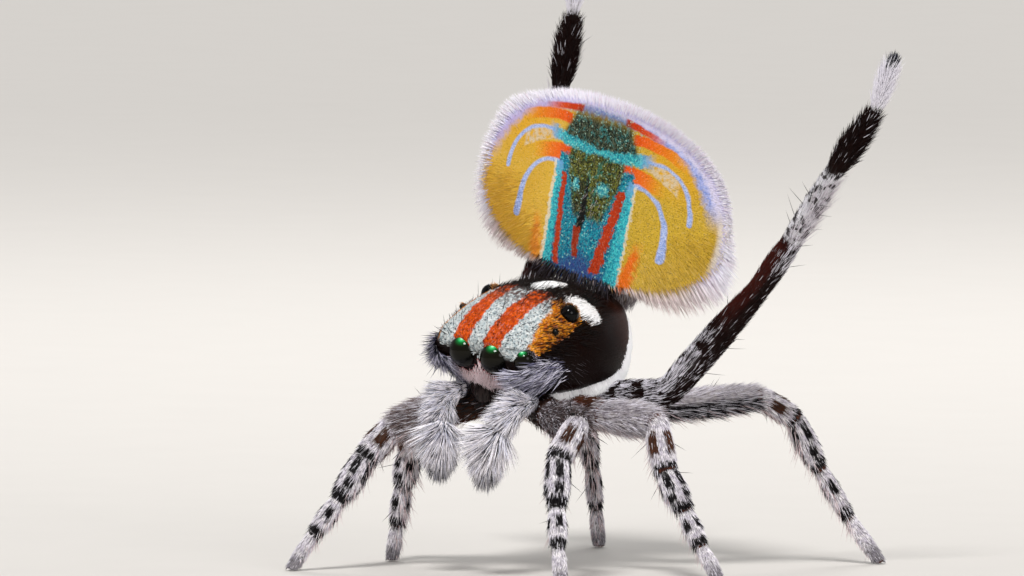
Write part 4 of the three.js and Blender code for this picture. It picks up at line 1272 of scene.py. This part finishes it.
def raised_colours(look):
    """Black-brown with pale strands at the base, a pale spotted tibia, a dark brush and a white tip."""
    walked, outer, _ = look.place()
    w = walked + look.wander(0.05, 0.2)
    dark = look.mottled("0a0303", "26100c", 0.06, 1)
    inner = outer.step(0.4, -0.2)
    paint = look.mix(dark, "4a1a12", between(w, 1.7, 3.0, 0.15) * inner * 0.8)
    white = look.mottled("d2ccd6", "ffffff", 0.06, 1)
    spots = look.grain(0.07, 1).step(0.52, 0.58)
    paint = look.mix(paint, look.mix(white, dark, spots * 0.92), between(w, 3.05, 3.97, 0.05))
    paint = look.mix(paint, dark, between(w, 4.0, 5.02, 0.03))
    paint = look.mix(paint, "ffffff", walked.step(5.03, 5.08))
    paint = look.mix(paint, "343640", w.step(5.78, 5.84))
    base = w.step(1.7, 1.35) * look.grain(0.14, 1).step(0.36, 0.5) * (0.15 + 0.85 * inner)
    knee = between(w, 2.5, 3.1, 0.1) * (1 - inner)
    snowy = between(w, 5.05, 5.78, 0.03)
    return paint, walked, base * 0.6 + knee * 0.6 + 0.03 + snowy


def limb_skin_finish(name, colours):
    """The same markings as the hair, darker, and warm bare skin at hips and joints."""
    look = Finish(name, Roughness=0.4, Specular_IOR_Level=0.3)
    paint, walked, streaked = colours(look)
    bare = look.mottled("6a3014", "20100a", 0.08)
    bare = look.mix("0c0605", bare, look.place()[2].step(1.49, 1.51))
    near = abs((walked + 0.5).math("FRACT") - 0.5).step(0.015, 0.05)
    hip = walked.step(0.6, 0.9)
    paint = look.mix(look.mix(paint, "b8b0b8", streaked * 0.4), "140b09", 0.5)
    look.set("Base Color", look.mix(bare, paint, near * hip))
    look.bump(look.grain(0.02), 0.3, 0.004)
    return look


def limb_hair_finish(name, colours, darker=0.12):
    """Hair in the leg's markings; a share of the strands is pale or dark whatever the marking."""
    look = Finish(name, Roughness=0.6, Specular_IOR_Level=0.12)
    paint, _, streaked = colours(look)
    shade = look.attribute("shade")
    paint = look.mix(paint, "f0ecf4", (shade + streaked).step(0.98, 1.02) * 0.9)
    dark = (1 - shade + darker - streaked).step(0.98, 1.02) * 0.85
    look.set("Base Color", look.mix(paint, "0d0a0d", dark))
    return look


def palp_finish():
    look = Finish("palp_hair", Roughness=0.5, Specular_IOR_Level=0.2)
    walked = look.place()[0]
    tip, shade = look.attribute("tip"), look.attribute("shade")
    paint = look.mix("5c5e74", "e4e4f2", tip.step(0.0, 0.2))
    paint = look.mix(paint, "fffafd", shade.step(0.3, 0.5) * tip.step(0.0, 0.3))
    dark = (1 - shade).step(0.8, 0.85).high(walked.step(4.45, 4.8) * 0.6 * tip)
    look.set("Base Color", look.mix(paint, "12121a", dark))
    return look


# Skins

spike = strand_mesh("spike", (0,), (1,), flat=0.7, bend=0.12)
strand = strand_mesh("strand", (0, 0.5), (1, 0.8))
long_strand = strand_mesh("long_strand", (0, 0.35, 0.7), (1, 0.95, 0.6), bend=0.3)
leaf = scale_mesh("leaf", [(0, 0), (0.5, 0.45), (0, 1), (-0.5, 0.45)])

shield = head_skin("shield", SHIELD, 120, SHIELD_STEPS)
underside = head_skin("underside", STERNUM, 48, 4)
fan = fan_skin()
abdomen = abdomen_skin()
jaws = small_skin()
raised = {n: j for n, j in LEGS.items() if j[-1][2] > RAISED_ABOVE}
standing = {n: j for n, j in LEGS.items() if n not in raised}
standing_legs = limb_skin("standing_legs", standing)
raised_legs = limb_skin("raised_legs", raised)
palps = limb_skin("palps", PALPS)
rims = eye_rim_skin()

SKINS = {
    # skin: its tile on the whole skin's unwrap, and its finish
    "fan": (fan, (0, 0.5, 0.5, 1), fan_skin_finish()),
    "shield": (shield, (0.5, 0.5, 1, 1), shield_skin_finish()),
    "standing_legs": (
        standing_legs, (0, 0.2, 0.5, 0.49), limb_skin_finish("standing_skin", standing_colours),
    ),
    "raised_legs": (raised_legs, (0.5, 0.35, 1, 0.49), limb_skin_finish("raised_skin", raised_colours)),
    "palps": (palps, (0.5, 0.2, 1, 0.34), cuticle_finish("palp_skin", "0c0a0e", "2a262e", 0.5)),
    "abdomen": (abdomen, (0, 0, 0.3, 0.19), cuticle_finish("abdomen_skin", "5a4a42", "9a8a80", 0.55)),
    # Dark brown underside and jaws: partly their own colour, partly painted shade of the gap under the face.
    "underside": (underside, (0.31, 0, 0.55, 0.19), cuticle_finish("underside_skin", "120604", "3a1c0e")),
    "jaws": (jaws, (0.56, 0, 0.75, 0.19), cuticle_finish("jaw_skin", "140806", "2e140e", 0.4)),
    "rims": (rims, (0.76, 0, 1, 0.19), cuticle_finish("rim_skin", "0a0606", "1c1410")),
}
for skin, _, finish in SKINS.values():
    keep_unwrap(skin)
    skin.data.materials.append(finish.material)


# Coats

def on_surface(skin, way):
    """way, laid along the skin at each of its points."""
    normal = normals(skin)
    way = np.broadcast_to(way, normal.shape)
    return unit(way - normal * (way * normal).sum(1)[:, None])


def above_floor(skin, lie, size):
    """size, cut short where hair would reach the floor."""
    height = points_of(skin)[:, 2] - FOOT_CLEAR
    drop = np.maximum(-lie[:, 2], LEAST_DROP)
    return np.minimum(size, np.maximum(height, LEAST_HEIGHT) / drop)


def rim_measure(place):
    """0 in the fan's middle, 1 on its rim."""
    l = np.abs(place[:, 0]) / FAN["half_width"]
    reach = np.where(place[:, 1] > FAN["widest"], FAN["rise"], FAN["drop"])
    u = np.abs(place[:, 1] - FAN["widest"]) / reach
    return (l ** FAN["power"] + u ** FAN["power"]) ** (1 / FAN["power"])


def corner_measure(place):
    """1 at the fan's lower outer corners."""
    return ramp(place[:, 1], 0.1, -0.5) * ramp(np.abs(place[:, 0]), 0.4, 1.2)


COATS = {
    # piece: slot, strand, strands per square millimetre, width, uneven, ruffled, seed.
    # Uneven is the spread of length, and ruffled that of direction.
    "fan_scales": ("fan_scales", leaf, 6900, 0.017, 0.25, 0.08, 3),
    "fan_edge_hair": ("fan_scales", strand, 3800, 0.008, 0.35, 0.12, 24),
    "fan_back_hair": ("plate_scales", strand, 1100, 0.013, 0.25, 0.12, 4),
    "fan_fringe": ("fan_scales", long_strand, 13500, 0.0085, 0.35, 0.13, 5),
    "fan_foot_hair": ("shield_scales", long_strand, 5200, 0.009, 0.4, 0.25, 25),
    "shield_scales": ("shield_scales", leaf, 9500, 0.015, 0.3, 0.12, 9),
    "white_patches": ("shield_scales", strand, 11500, 0.01, 0.25, 0.12, 10),
    "white_margin": ("shield_scales", strand, 19000, 0.0115, 0.12, 0.05, 11),
    "shield_bristles": ("shield_scales", long_strand, 1900, 0.007, 0.45, 0.25, 12),
    "shield_long_hair": ("shield_scales", long_strand, 26, 0.007, 0.4, 0.35, 32),
    "side_hair": ("shield_scales", strand, 200, 0.006, 0.4, 0.25, 22),
    "face_hair": ("palp_hair", long_strand, 6500, 0.009, 0.45, 0.28, 13),
    "eye_rim_hair": ("shield_scales", spike, 6000, 0.007, 0.25, 0.12, 14),
    "standing_hair_left": ("leg_hair", spike, 3700, 0.0115, 0.45, 0.18, 6),
    "standing_hair_right": ("leg_hair", spike, 3700, 0.0115, 0.45, 0.18, 26),
    "standing_fringe": ("leg_hair", long_strand, 520, 0.008, 0.4, 0.25, 15),
    "raised_hair": ("dark_leg_hair", spike, 4300, 0.011, 0.4, 0.16, 7),
    "raised_brush": ("dark_leg_hair", long_strand, 3800, 0.009, 0.45, 0.22, 27),
    "tibia_fringe": ("leg_hair", long_strand, 900, 0.008, 0.35, 0.14, 16),
    "palp_hair": ("palp_hair", long_strand, 6200, 0.009, 0.3, 0.18, 8),
    "abdomen_hair": ("leg_hair", long_strand, 1300, 0.009, 0.35, 0.2, 17),
    "underside_hair": ("leg_hair", long_strand, 700, 0.009, 0.35, 0.2, 18),
    "jaw_hair": ("leg_hair", long_strand, 900, 0.009, 0.35, 0.2, 19),
    "standing_spines": ("dark_leg_hair", strand, 7, 0.01, 0.35, 0.2, 20),
    "raised_spines": ("dark_leg_hair", strand, 7, 0.01, 0.35, 0.2, 21),
}
DOWN = np.array([0, 0, -1.0])
LEAST_DROP = 0.25  # hair near the floor counts as leaning down at least this much
LEAST_HEIGHT = 0.012  # and as rooted at least this high


def dress_fan():
    place, out = read(fan, "place"), read(fan, "along")
    rim, corner = rim_measure(place), corner_measure(place)
    front = (place[:, 2] < 0.5) * 1.0
    lie = on_surface(fan, out + DOWN * (0.3 * corner)[:, None])
    grow_coat("fan_scales", fan, fan_scale_finish(), front, 0.032, lie, 0.1)
    edge = front * np.maximum(ramp(rim, 0.5, 0.9) * ramp(corner, 0.0, 0.6), ramp(rim, 0.93, 0.97) * 0.6)
    finish = fan_scale_finish("fan_edge_hair", 0.55)
    grow_coat("fan_edge_hair", fan, finish, edge, 0.1, lie, 0.16)
    grow_coat("fan_back_hair", fan, SKINS["fan"][2], 1 - front, 0.09, lie, 0.15)


def dress_fringe():
    """Long hair round the rim, longest at the lower corners, and dark hair at the fan's foot."""
    place, out = read(fan, "place"), read(fan, "along")
    l, u, corner, rim = place[:, 0], place[:, 1], corner_measure(place), rim_measure(place)
    top = ramp(u, 0.2, 0.6)
    down = DOWN * (0.05 + 0.6 * corner - 0.05 * top)[:, None]
    back = fan_vector(0 * corner, 0 * corner, 0.2 * corner)
    foot = ramp(np.abs(l), 0.75, 0.55) * ramp(u, -0.3, -0.6)
    edge = ramp(rim, 0.955, 0.985) * (1 - 0.9 * foot) * mix(0.7, 1.0, top)
    longer = 0.21 * corner * mix(0.45, 1.0, ramp(l, -0.3, 0.3))
    size = 0.075 + longer + 0.03 * top + 0.06 * ramp(l, -0.9, -1.4)
    grow_coat("fan_fringe", fan, fringe_finish(), edge, size, unit(out + down + back), 0.05)
    black = hair_finish("fan_foot_hair", "080404", "1c100c", "6e6674", share=0.5)
    hem = ramp(rim, 0.94, 0.97) * (ramp(np.abs(l + 0.12), 0.52, 0.42) * ramp(u, -0.3, -0.6))
    below = unit(out + np.array([0, -0.35, -1.0]))
    grow_coat("fan_foot_hair", fan, black, hem, 0.2, below, 0.25)


def eye_distance(place, kind):
    """How far each place on the head lies outside an eye's ball."""
    f, l, u, radius = EYES[kind]
    out = eye_facing(kind)
    centre = np.array([l - EYE_BACK[kind] * out[1], f - EYE_BACK[kind] * out[0], u])
    mirrored = np.stack([np.abs(place[:, 0]), place[:, 1], place[:, 2]], -1)
    return np.linalg.norm(mirrored - centre, axis=1) - radius


def clear_of_eyes(place, room=0.0):
    nearest = np.min([eye_distance(place, kind) for kind in EYES], axis=0)
    return ramp(nearest, room, room + 0.015)


def inside(l, f, middle, reach):
    return ((l - middle[0]) / reach[0]) ** 2 + ((f - middle[1]) / reach[1]) ** 2 < 1


def dress_shield():
    place = read(shield, "place")
    wing, f, u = np.abs(place[:, 0]), place[:, 1], place[:, 2]
    back = on_surface(shield, read(shield, "along"))
    clear = clear_of_eyes(place)
    patch = inside(wing, f, PATCH_MIDDLE, PATCH_REACH)
    white = np.maximum(patch, inside(place[:, 0], f, CROWN_MIDDLE, CROWN_REACH))
    top = ramp(u, 0.03, 0.1) * ramp(f, -0.42, -0.3)
    grow_coat("shield_scales", shield, shield_scale_finish(), np.maximum(top, patch) * clear, 0.042,
              back, 0.13)
    # The white hair's emission is painted light, brightening its side in shade.
    snow = hair_finish("white_patch_hair", "e8e6e8", "ffffff", "ffffff", share=1.0, painted_light=0.12)
    grow_coat("white_patches", shield, snow, white * clear, 0.045, back, 0.16)
    dress_margin(place, snow)
    dress_bristles(place, back, clear, white, top)


def dress_margin(place, snow):
    """The band of white hair that hangs from the shield's lower edge."""
    f = place[:, 1]
    rows = smooth_rows(SHIELD, SHIELD_STEPS)[::-1]
    widest = np.interp(f, rows[:, 0], rows[:, 4])
    root = widest + np.interp(f, [-0.5, -0.25, 0.25, 0.58], [0.03, -0.05, -0.1, -0.2])
    strip = plateau(place[:, 2] - root, -0.05, -0.02, 0.02, 0.05) * ramp(f, 0.64, 0.58) * ramp(f, -0.9, -0.8)
    away = unit(head_vector(-0.15, 0, -1.0) + 0.2 * normals(shield))
    size = mix(0.05, 0.115, plateau(f, -0.6, -0.2, 0.45, 0.66))
    # The band hangs facing down; the emission of its finish is painted light.
    grow_coat("white_margin", shield, snow, strip, size, away, 0.05)


def dress_bristles(place, back, clear, white, top):
    """Black bristles round the rear eyes and over the back, sparse pale hair on the sides."""
    wing, f, u = np.abs(place[:, 0]), place[:, 1], place[:, 2]
    black = hair_finish("black_hair", "060303", "140c0a", "2a1a14", share=0.4)
    ring = np.minimum(eye_distance(place, "rear"), eye_distance(place, "small"))
    tufts = ramp(ring, 0.24, 0.06) * ramp(wing, 0.45, 0.52) * ramp(f, 0.0, 0.2) * 0.7
    lashes = ramp(wing, 0.5, 0.6) * plateau(f, 0.3, 0.45, 0.75, 0.85) * ramp(u, -0.12, -0.04)
    behind = ramp(f, 0.3, 0.12) * ramp(u, -0.2, 0.0) * (1 - white) * ramp(f, -0.75, -0.55)
    curved = unit(back + head_vector(0, 0.35 * np.sign(place[:, 0]), -0.3))
    grow = np.maximum(np.maximum(np.maximum(tufts, 0.8 * lashes), 0.05 * top), behind) * clear
    grow_coat("shield_bristles", shield, black, grow, mix(0.09, 0.1, behind),
              mix(curved, back, behind[:, None]), 0.3)
    grow_coat("shield_long_hair", shield, black, top * clear, 0.17, back, 1.1)
    grey = hair_finish("side_hair", "1e1a1e", "3e383c", "6a6468", share=0.5)
    side = ramp(f, 0.1, 0.4) * ramp(u, 0.02, -0.04) * ramp(u, -0.5, -0.3) * clear
    grow_coat("side_hair", shield, grey, side, 0.08, unit(back + head_vector(0, 0, -0.8)), 0.2)


def dress_face():
    place = read(shield, "place")
    l, f, u = place[:, 0], place[:, 1], place[:, 2]
    wing, side = np.abs(l), np.sign(l)
    inward = head_vector(0.9 + 0 * l, -0.85 * side, 0.12)
    front = head_vector(0.35 + 0 * l, -0.1 * side, -0.9)
    cheek = ramp(wing, 0.3, 0.5)
    lie = on_surface(shield, unit(mix(front, inward, cheek[:, None])))
    below = ramp(u, -0.06, -0.12) * ramp(f, 0.45, 0.6) * (wing < 0.5)
    sides = ramp(-u + (f - 0.75) * 0.3, 0.02, 0.07) * ramp(f, 0.48, 0.6) * ramp(u, -0.34, -0.26)
    grow = (below + sides * (wing >= 0.5)) * clear_of_eyes(place, 0.012)
    grow_coat("face_hair", shield, face_finish(), grow, mix(0.075, 0.22, cheek), lie, 0.2)
    grow_coat("eye_rim_hair", rims, rim_finish(), 1.0, 0.03, read(rims, "along"), 0.1)


def near_joint(walked):
    """0 at a joint, 1 a little away from it."""
    return ramp(np.abs((walked + 0.5) % 1 - 0.5), 0.015, 0.06)


def dress_standing():
    """Short hair, in one piece for each side, and a pink fringe under the legs."""
    place, along = read(standing_legs, "place"), read(standing_legs, "along")
    walked, outer = place[:, 0], place[:, 1]
    under = ramp(outer, -0.1, -0.6)
    foot = ramp(walked, 5.0, 5.4)
    size = mix(0.062 + 0.03 * under + 0.06 * plateau(walked, 0.7, 1.0, 1.9, 2.1), 0.05, foot)
    size = above_floor(standing_legs, along, size)
    grow = near_joint(walked) * mix(0.4, 1.0, ramp(walked, 0.5, 1.0))
    finish = limb_hair_finish("standing_hair", standing_colours)
    left = points_of(standing_legs)[:, 0] > 0
    for name, here in (("left", left), ("right", ~left)):
        grow_coat(f"standing_hair_{name}", standing_legs, finish, grow * here, size, along,
                  0.26 + 0.1 * under)
    pink = hair_finish("leg_fringe", "b09296", "f0dcdc", "fff6f6")
    way = unit(along + 0.6 * normals(standing_legs))
    size = above_floor(standing_legs, way, mix(0.15, 0.08, foot))
    grow_coat("standing_fringe", standing_legs, pink, ramp(outer, -0.4, -0.85) * ramp(walked, 0.6, 0.8),
              size, way, 0.1)


def dress_raised():
    """Short hair, a dark brush before the foot with a white tuft at its end, and a pale tibia fringe."""
    place, along = read(raised_legs, "place"), read(raised_legs, "along")
    walked = place[:, 0]
    brush = plateau(walked, 3.93, 4.08, 4.95, 5.02)
    tuft = ramp(walked, 5.0, 5.1)
    finish = limb_hair_finish("raised_hair", raised_colours, darker=0.08)
    grow_coat("raised_hair", raised_legs, finish, (1 - brush) * (1 - tuft), 0.085, along, 0.15)
    size = 0.115 * brush + 0.15 * tuft - 0.08 * ramp(walked, 5.75, 5.95)
    grow_coat("raised_brush", raised_legs, finish, np.maximum(brush, tuft), size, along,
              0.42 * brush + 0.3 * tuft)
    white = hair_finish("tibia_fringe", "a094a0", "efe6ec", "ffffff")
    outward = normals(raised_legs)[:, 0] * np.sign(points_of(raised_legs)[:, 0])
    grow = plateau(walked, 3.0, 3.15, 3.8, 3.95) * ramp(outward, 0.0, 0.7)
    grow_coat("tibia_fringe", raised_legs, white, grow, 0.2, unit(along + 0.25 * normals(raised_legs)),
              0.1)


def dress_palps():
    """Two lobes: the arm's hair sweeps forward to the waist, and the bulb's fans out below it."""
    place, along = read(palps, "place"), read(palps, "along")
    walked = place[:, 0]
    arm = plateau(walked, 0.9, 1.6, 2.7, 2.95)
    bulb = ramp(walked, 2.98, 3.12)
    end = ramp(walked, 3.6, 4.7)
    size = 0.06 + 0.11 * arm + bulb * mix(0.21, 0.07, end)
    lift = 0.2 + 0.4 * arm + bulb * mix(1.25, 0.25, ramp(walked, 3.1, 4.4))
    arm_way, bulb_way = np.array([-0.35, -0.6, -0.1]), np.array([-0.3, -0.27, 0])
    sweep = unit(along + (arm_way * arm[:, None] + bulb_way * (bulb * (1 - end))[:, None]))
    grow_coat("palp_hair", palps, palp_finish(), ramp(walked, 0.5, 1.0), size, sweep, lift)


def dress_body():
    """Abdomen, underside and jaws: longer, sparser hair."""
    grey = hair_finish("body_hair", "4e4244", "a8a0a6", "dcd6da")
    pink = hair_finish("underside_hair", "7a5a52", "dcc2ba", "f0e0dc")
    black = hair_finish("jaw_hair", "080405", "1c1416", "5a4c50", share=0.4)
    for skin, look, name, size in (
        (abdomen, grey, "abdomen_hair", 0.13),
        (underside, pink, "underside_hair", 0.12),
        (jaws, black, "jaw_hair", 0.06),
    ):
        grow_coat(name, skin, look, 1.0, size, unit(read(skin, "along")), 0.35)


def dress_spines():
    """Thin black spines that stand off the legs."""
    black = hair_finish("spines", "060303", "140c0a", "241610", share=0.3, roughness=0.35)
    for skin, name in ((standing_legs, "standing_spines"), (raised_legs, "raised_spines")):
        place, along = read(skin, "place"), read(skin, "along")
        where = plateau(place[:, 0], 1.1, 1.3, 4.7, 4.9)
        lie = unit(along + 1.2 * normals(skin))
        grow_coat(name, skin, black, where, above_floor(skin, lie, 0.2), lie, 0.3)


for dress in (dress_fan, dress_fringe, dress_shield, dress_face, dress_standing, dress_raised,
              dress_palps, dress_body, dress_spines):
    dress()


# Eyes and claws

def add_lenses():
    lens = lens_finish()
    for kind, eye in EYES.items():
        in_front = kind.startswith("front")
        for side_name, side in (("left", 1), ("right", -1)):
            name = f"lens_{kind}_{side_name}"
            bpy.ops.mesh.primitive_uv_sphere_add(segments=48, ring_count=32, radius=1)
            ball = bpy.context.object
            ball.name = ball.data.name = name
            # Front lenses keep which way each point faces, which places their painted highlight; the others
            # keep none.
            facing = points_of(ball) @ HEAD_TURN * np.array([1, -1, 1])
            store(ball.data, "place", facing * in_front)
            ball.data.transform(Matrix.Scale(eye[3], 4))
            ball.data.transform(Matrix.Translation(Vector(eye_centre(kind, side))))
            ball.data.shade_smooth()
            ball.data.materials.append(lens.material)
            finish_piece(ball, [f"eye_{kind}_{side_name}"])


CLAW = {"reach": 0.055, "drop": 0.035, "radius": 0.011, "spread": 22, "rise": 0.03, "steps": 10, "sides": 8}


def add_claws():
    """Two hooked claws at the end of each leg."""
    claws = Skin("claws")
    for joints in LEGS.values():
        tip, before = np.array(joints[-1]), np.array(joints[-2])
        heading = unit(tip - before)
        standing_foot = tip[2] < RAISED_ABOVE
        ahead = unit(heading * np.array([1, 1, 0])) if standing_foot else heading
        across = unit(np.cross(ahead, [0, 0, 1.0]))
        hooked = np.cross(across, ahead) * (-1 if standing_foot else 1)
        root = tip + (np.array([0, 0, CLAW["rise"] + FOOT_CLEAR]) if standing_foot else -0.02 * heading)
        for side in (-1, 1):
            turn = math.radians(CLAW["spread"] * side)
            way = ahead * math.cos(turn) + across * math.sin(turn)
            t = np.linspace(0, 1, CLAW["steps"])[:, None]
            at = root + way * CLAW["reach"] * np.sin(t * math.pi / 2) + hooked * CLAW["drop"] * t ** 2
            at = at + across * side * CLAW["radius"]
            add_claw(claws, at, across)
    piece = claws.build()
    piece.data.materials.append(cuticle_finish("claw", "120806", "3a1c12", 0.25).material)
    finish_piece(piece)


def add_claw(claws, at, across):
    heading = unit(np.gradient(at, axis=0))
    up = unit(np.cross(heading, across))
    turn = circle(CLAW["sides"])[None, :, None]
    taper = CLAW["radius"] * (1 - np.linspace(0, 0.97, len(at)))[:, None, None]
    rings = at[:, None] + (np.cos(turn) * up[:, None] + np.sin(turn) * across) * taper
    claws.tube(rings, 0 * rings, 0 * rings)


def add_skin():
    """All flesh is one skin, each stretch with its own finish and its own tile of the unwrap."""
    for skin, (u0, v0, u1, v1), _ in SKINS.values():
        layer = skin.data.uv_layers["OFBake"].data
        uv = fetch(layer, "uv", 2) * np.array([u1 - u0, v1 - v0]) + np.array([u0, v0])
        layer.foreach_set("uv", uv.astype(np.float32).ravel())
        drop_attributes(skin.data, ("grow", "size", "lift", "lie", "along", "unwrap"))
    skin = joined("skin", [skin for skin, _, _ in SKINS.values()])
    flesh = [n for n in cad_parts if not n.startswith("eye_")]
    finish_piece(skin, flesh)


add_lenses()
add_claws()
add_skin()
for thing in (spike, strand, long_strand, leaf):
    bpy.data.objects.remove(thing)


# Camera, floor and light

VIEW = {
    "azimuth": 41.5, "elevation": 3.5, "distance": 0.2, "frame_width": 10.24,
    "across": -0.255, "up": 2.828,  # millimetres of the picture's middle from the layout's origin
}
SENSOR = 36
MIDDLE_HEIGHT = 0.003  # metres; the animal's middle above the floor
SKY = (0.92, 0.94, 0.96, 1)  # the even light of the studio
SKY_STRENGTH = 0.38


def facing_way(azimuth, elevation):
    a, e = math.radians(azimuth), math.radians(elevation)
    return np.array([math.sin(a) * math.cos(e), -math.cos(a) * math.cos(e), math.sin(e)])


def add_camera():
    back = facing_way(VIEW["azimuth"], VIEW["elevation"])
    turn = math.radians(VIEW["azimuth"])
    right = np.array([math.cos(turn), math.sin(turn), 0])
    up = np.cross(back, right)
    target = (VIEW["across"] * right + VIEW["up"] * up + SHIFT) * MM
    data = bpy.data.cameras.new("camera")
    data.sensor_width = SENSOR
    data.lens = SENSOR * VIEW["distance"] / (VIEW["frame_width"] * MM)
    data.clip_start, data.clip_end = 0.001, 20
    camera = add_object("camera", data)
    axes = Matrix(np.stack([right, up, back], 1).tolist()).to_4x4()
    camera.matrix_world = Matrix.Translation(Vector(target + back * VIEW["distance"])) @ axes
    bpy.context.scene.camera = camera


def add_floor():
    bpy.ops.mesh.primitive_plane_add(size=2)
    floor = bpy.context.object
    floor.name = "floor"
    look = Finish("pale_floor", Roughness=0.9)
    look.set("Base Color", look.mottled("d3cec8", "d6d1cb", 1.0))
    floor.data.materials.append(look.material)


def add_lamp(name, kind, azimuth, elevation, strength, away=0.0, **settings):
    """A light that shines from azimuth and elevation, so far away from the animal's middle."""
    way = Vector(facing_way(azimuth, elevation))
    data = bpy.data.lights.new(name, kind)
    data.energy = strength
    for setting, value in settings.items():
        setattr(data, setting, value)
    lamp = add_object(name, data)
    lamp.location = Vector((0, 0, MIDDLE_HEIGHT)) + way * away
    lamp.rotation_euler = way.to_track_quat("Z", "Y").to_euler()


def add_studio():
    world = bpy.data.worlds.new("studio")
    world.use_nodes = True
    background = world.node_tree.nodes["Background"]
    background.inputs["Color"].default_value = SKY
    background.inputs["Strength"].default_value = SKY_STRENGTH
    bpy.context.scene.world = world
    add_lamp("key", "SUN", 30, 52, 2.45, angle=math.radians(14))
    add_lamp("fill", "SUN", 75, 22, 0.55, angle=math.radians(25))
    add_lamp("back", "AREA", 215, 45, 0.012, away=0.06, size=0.03)
    bpy.context.scene.view_settings.view_transform = "Standard"


add_camera()
add_floor()
add_studio()
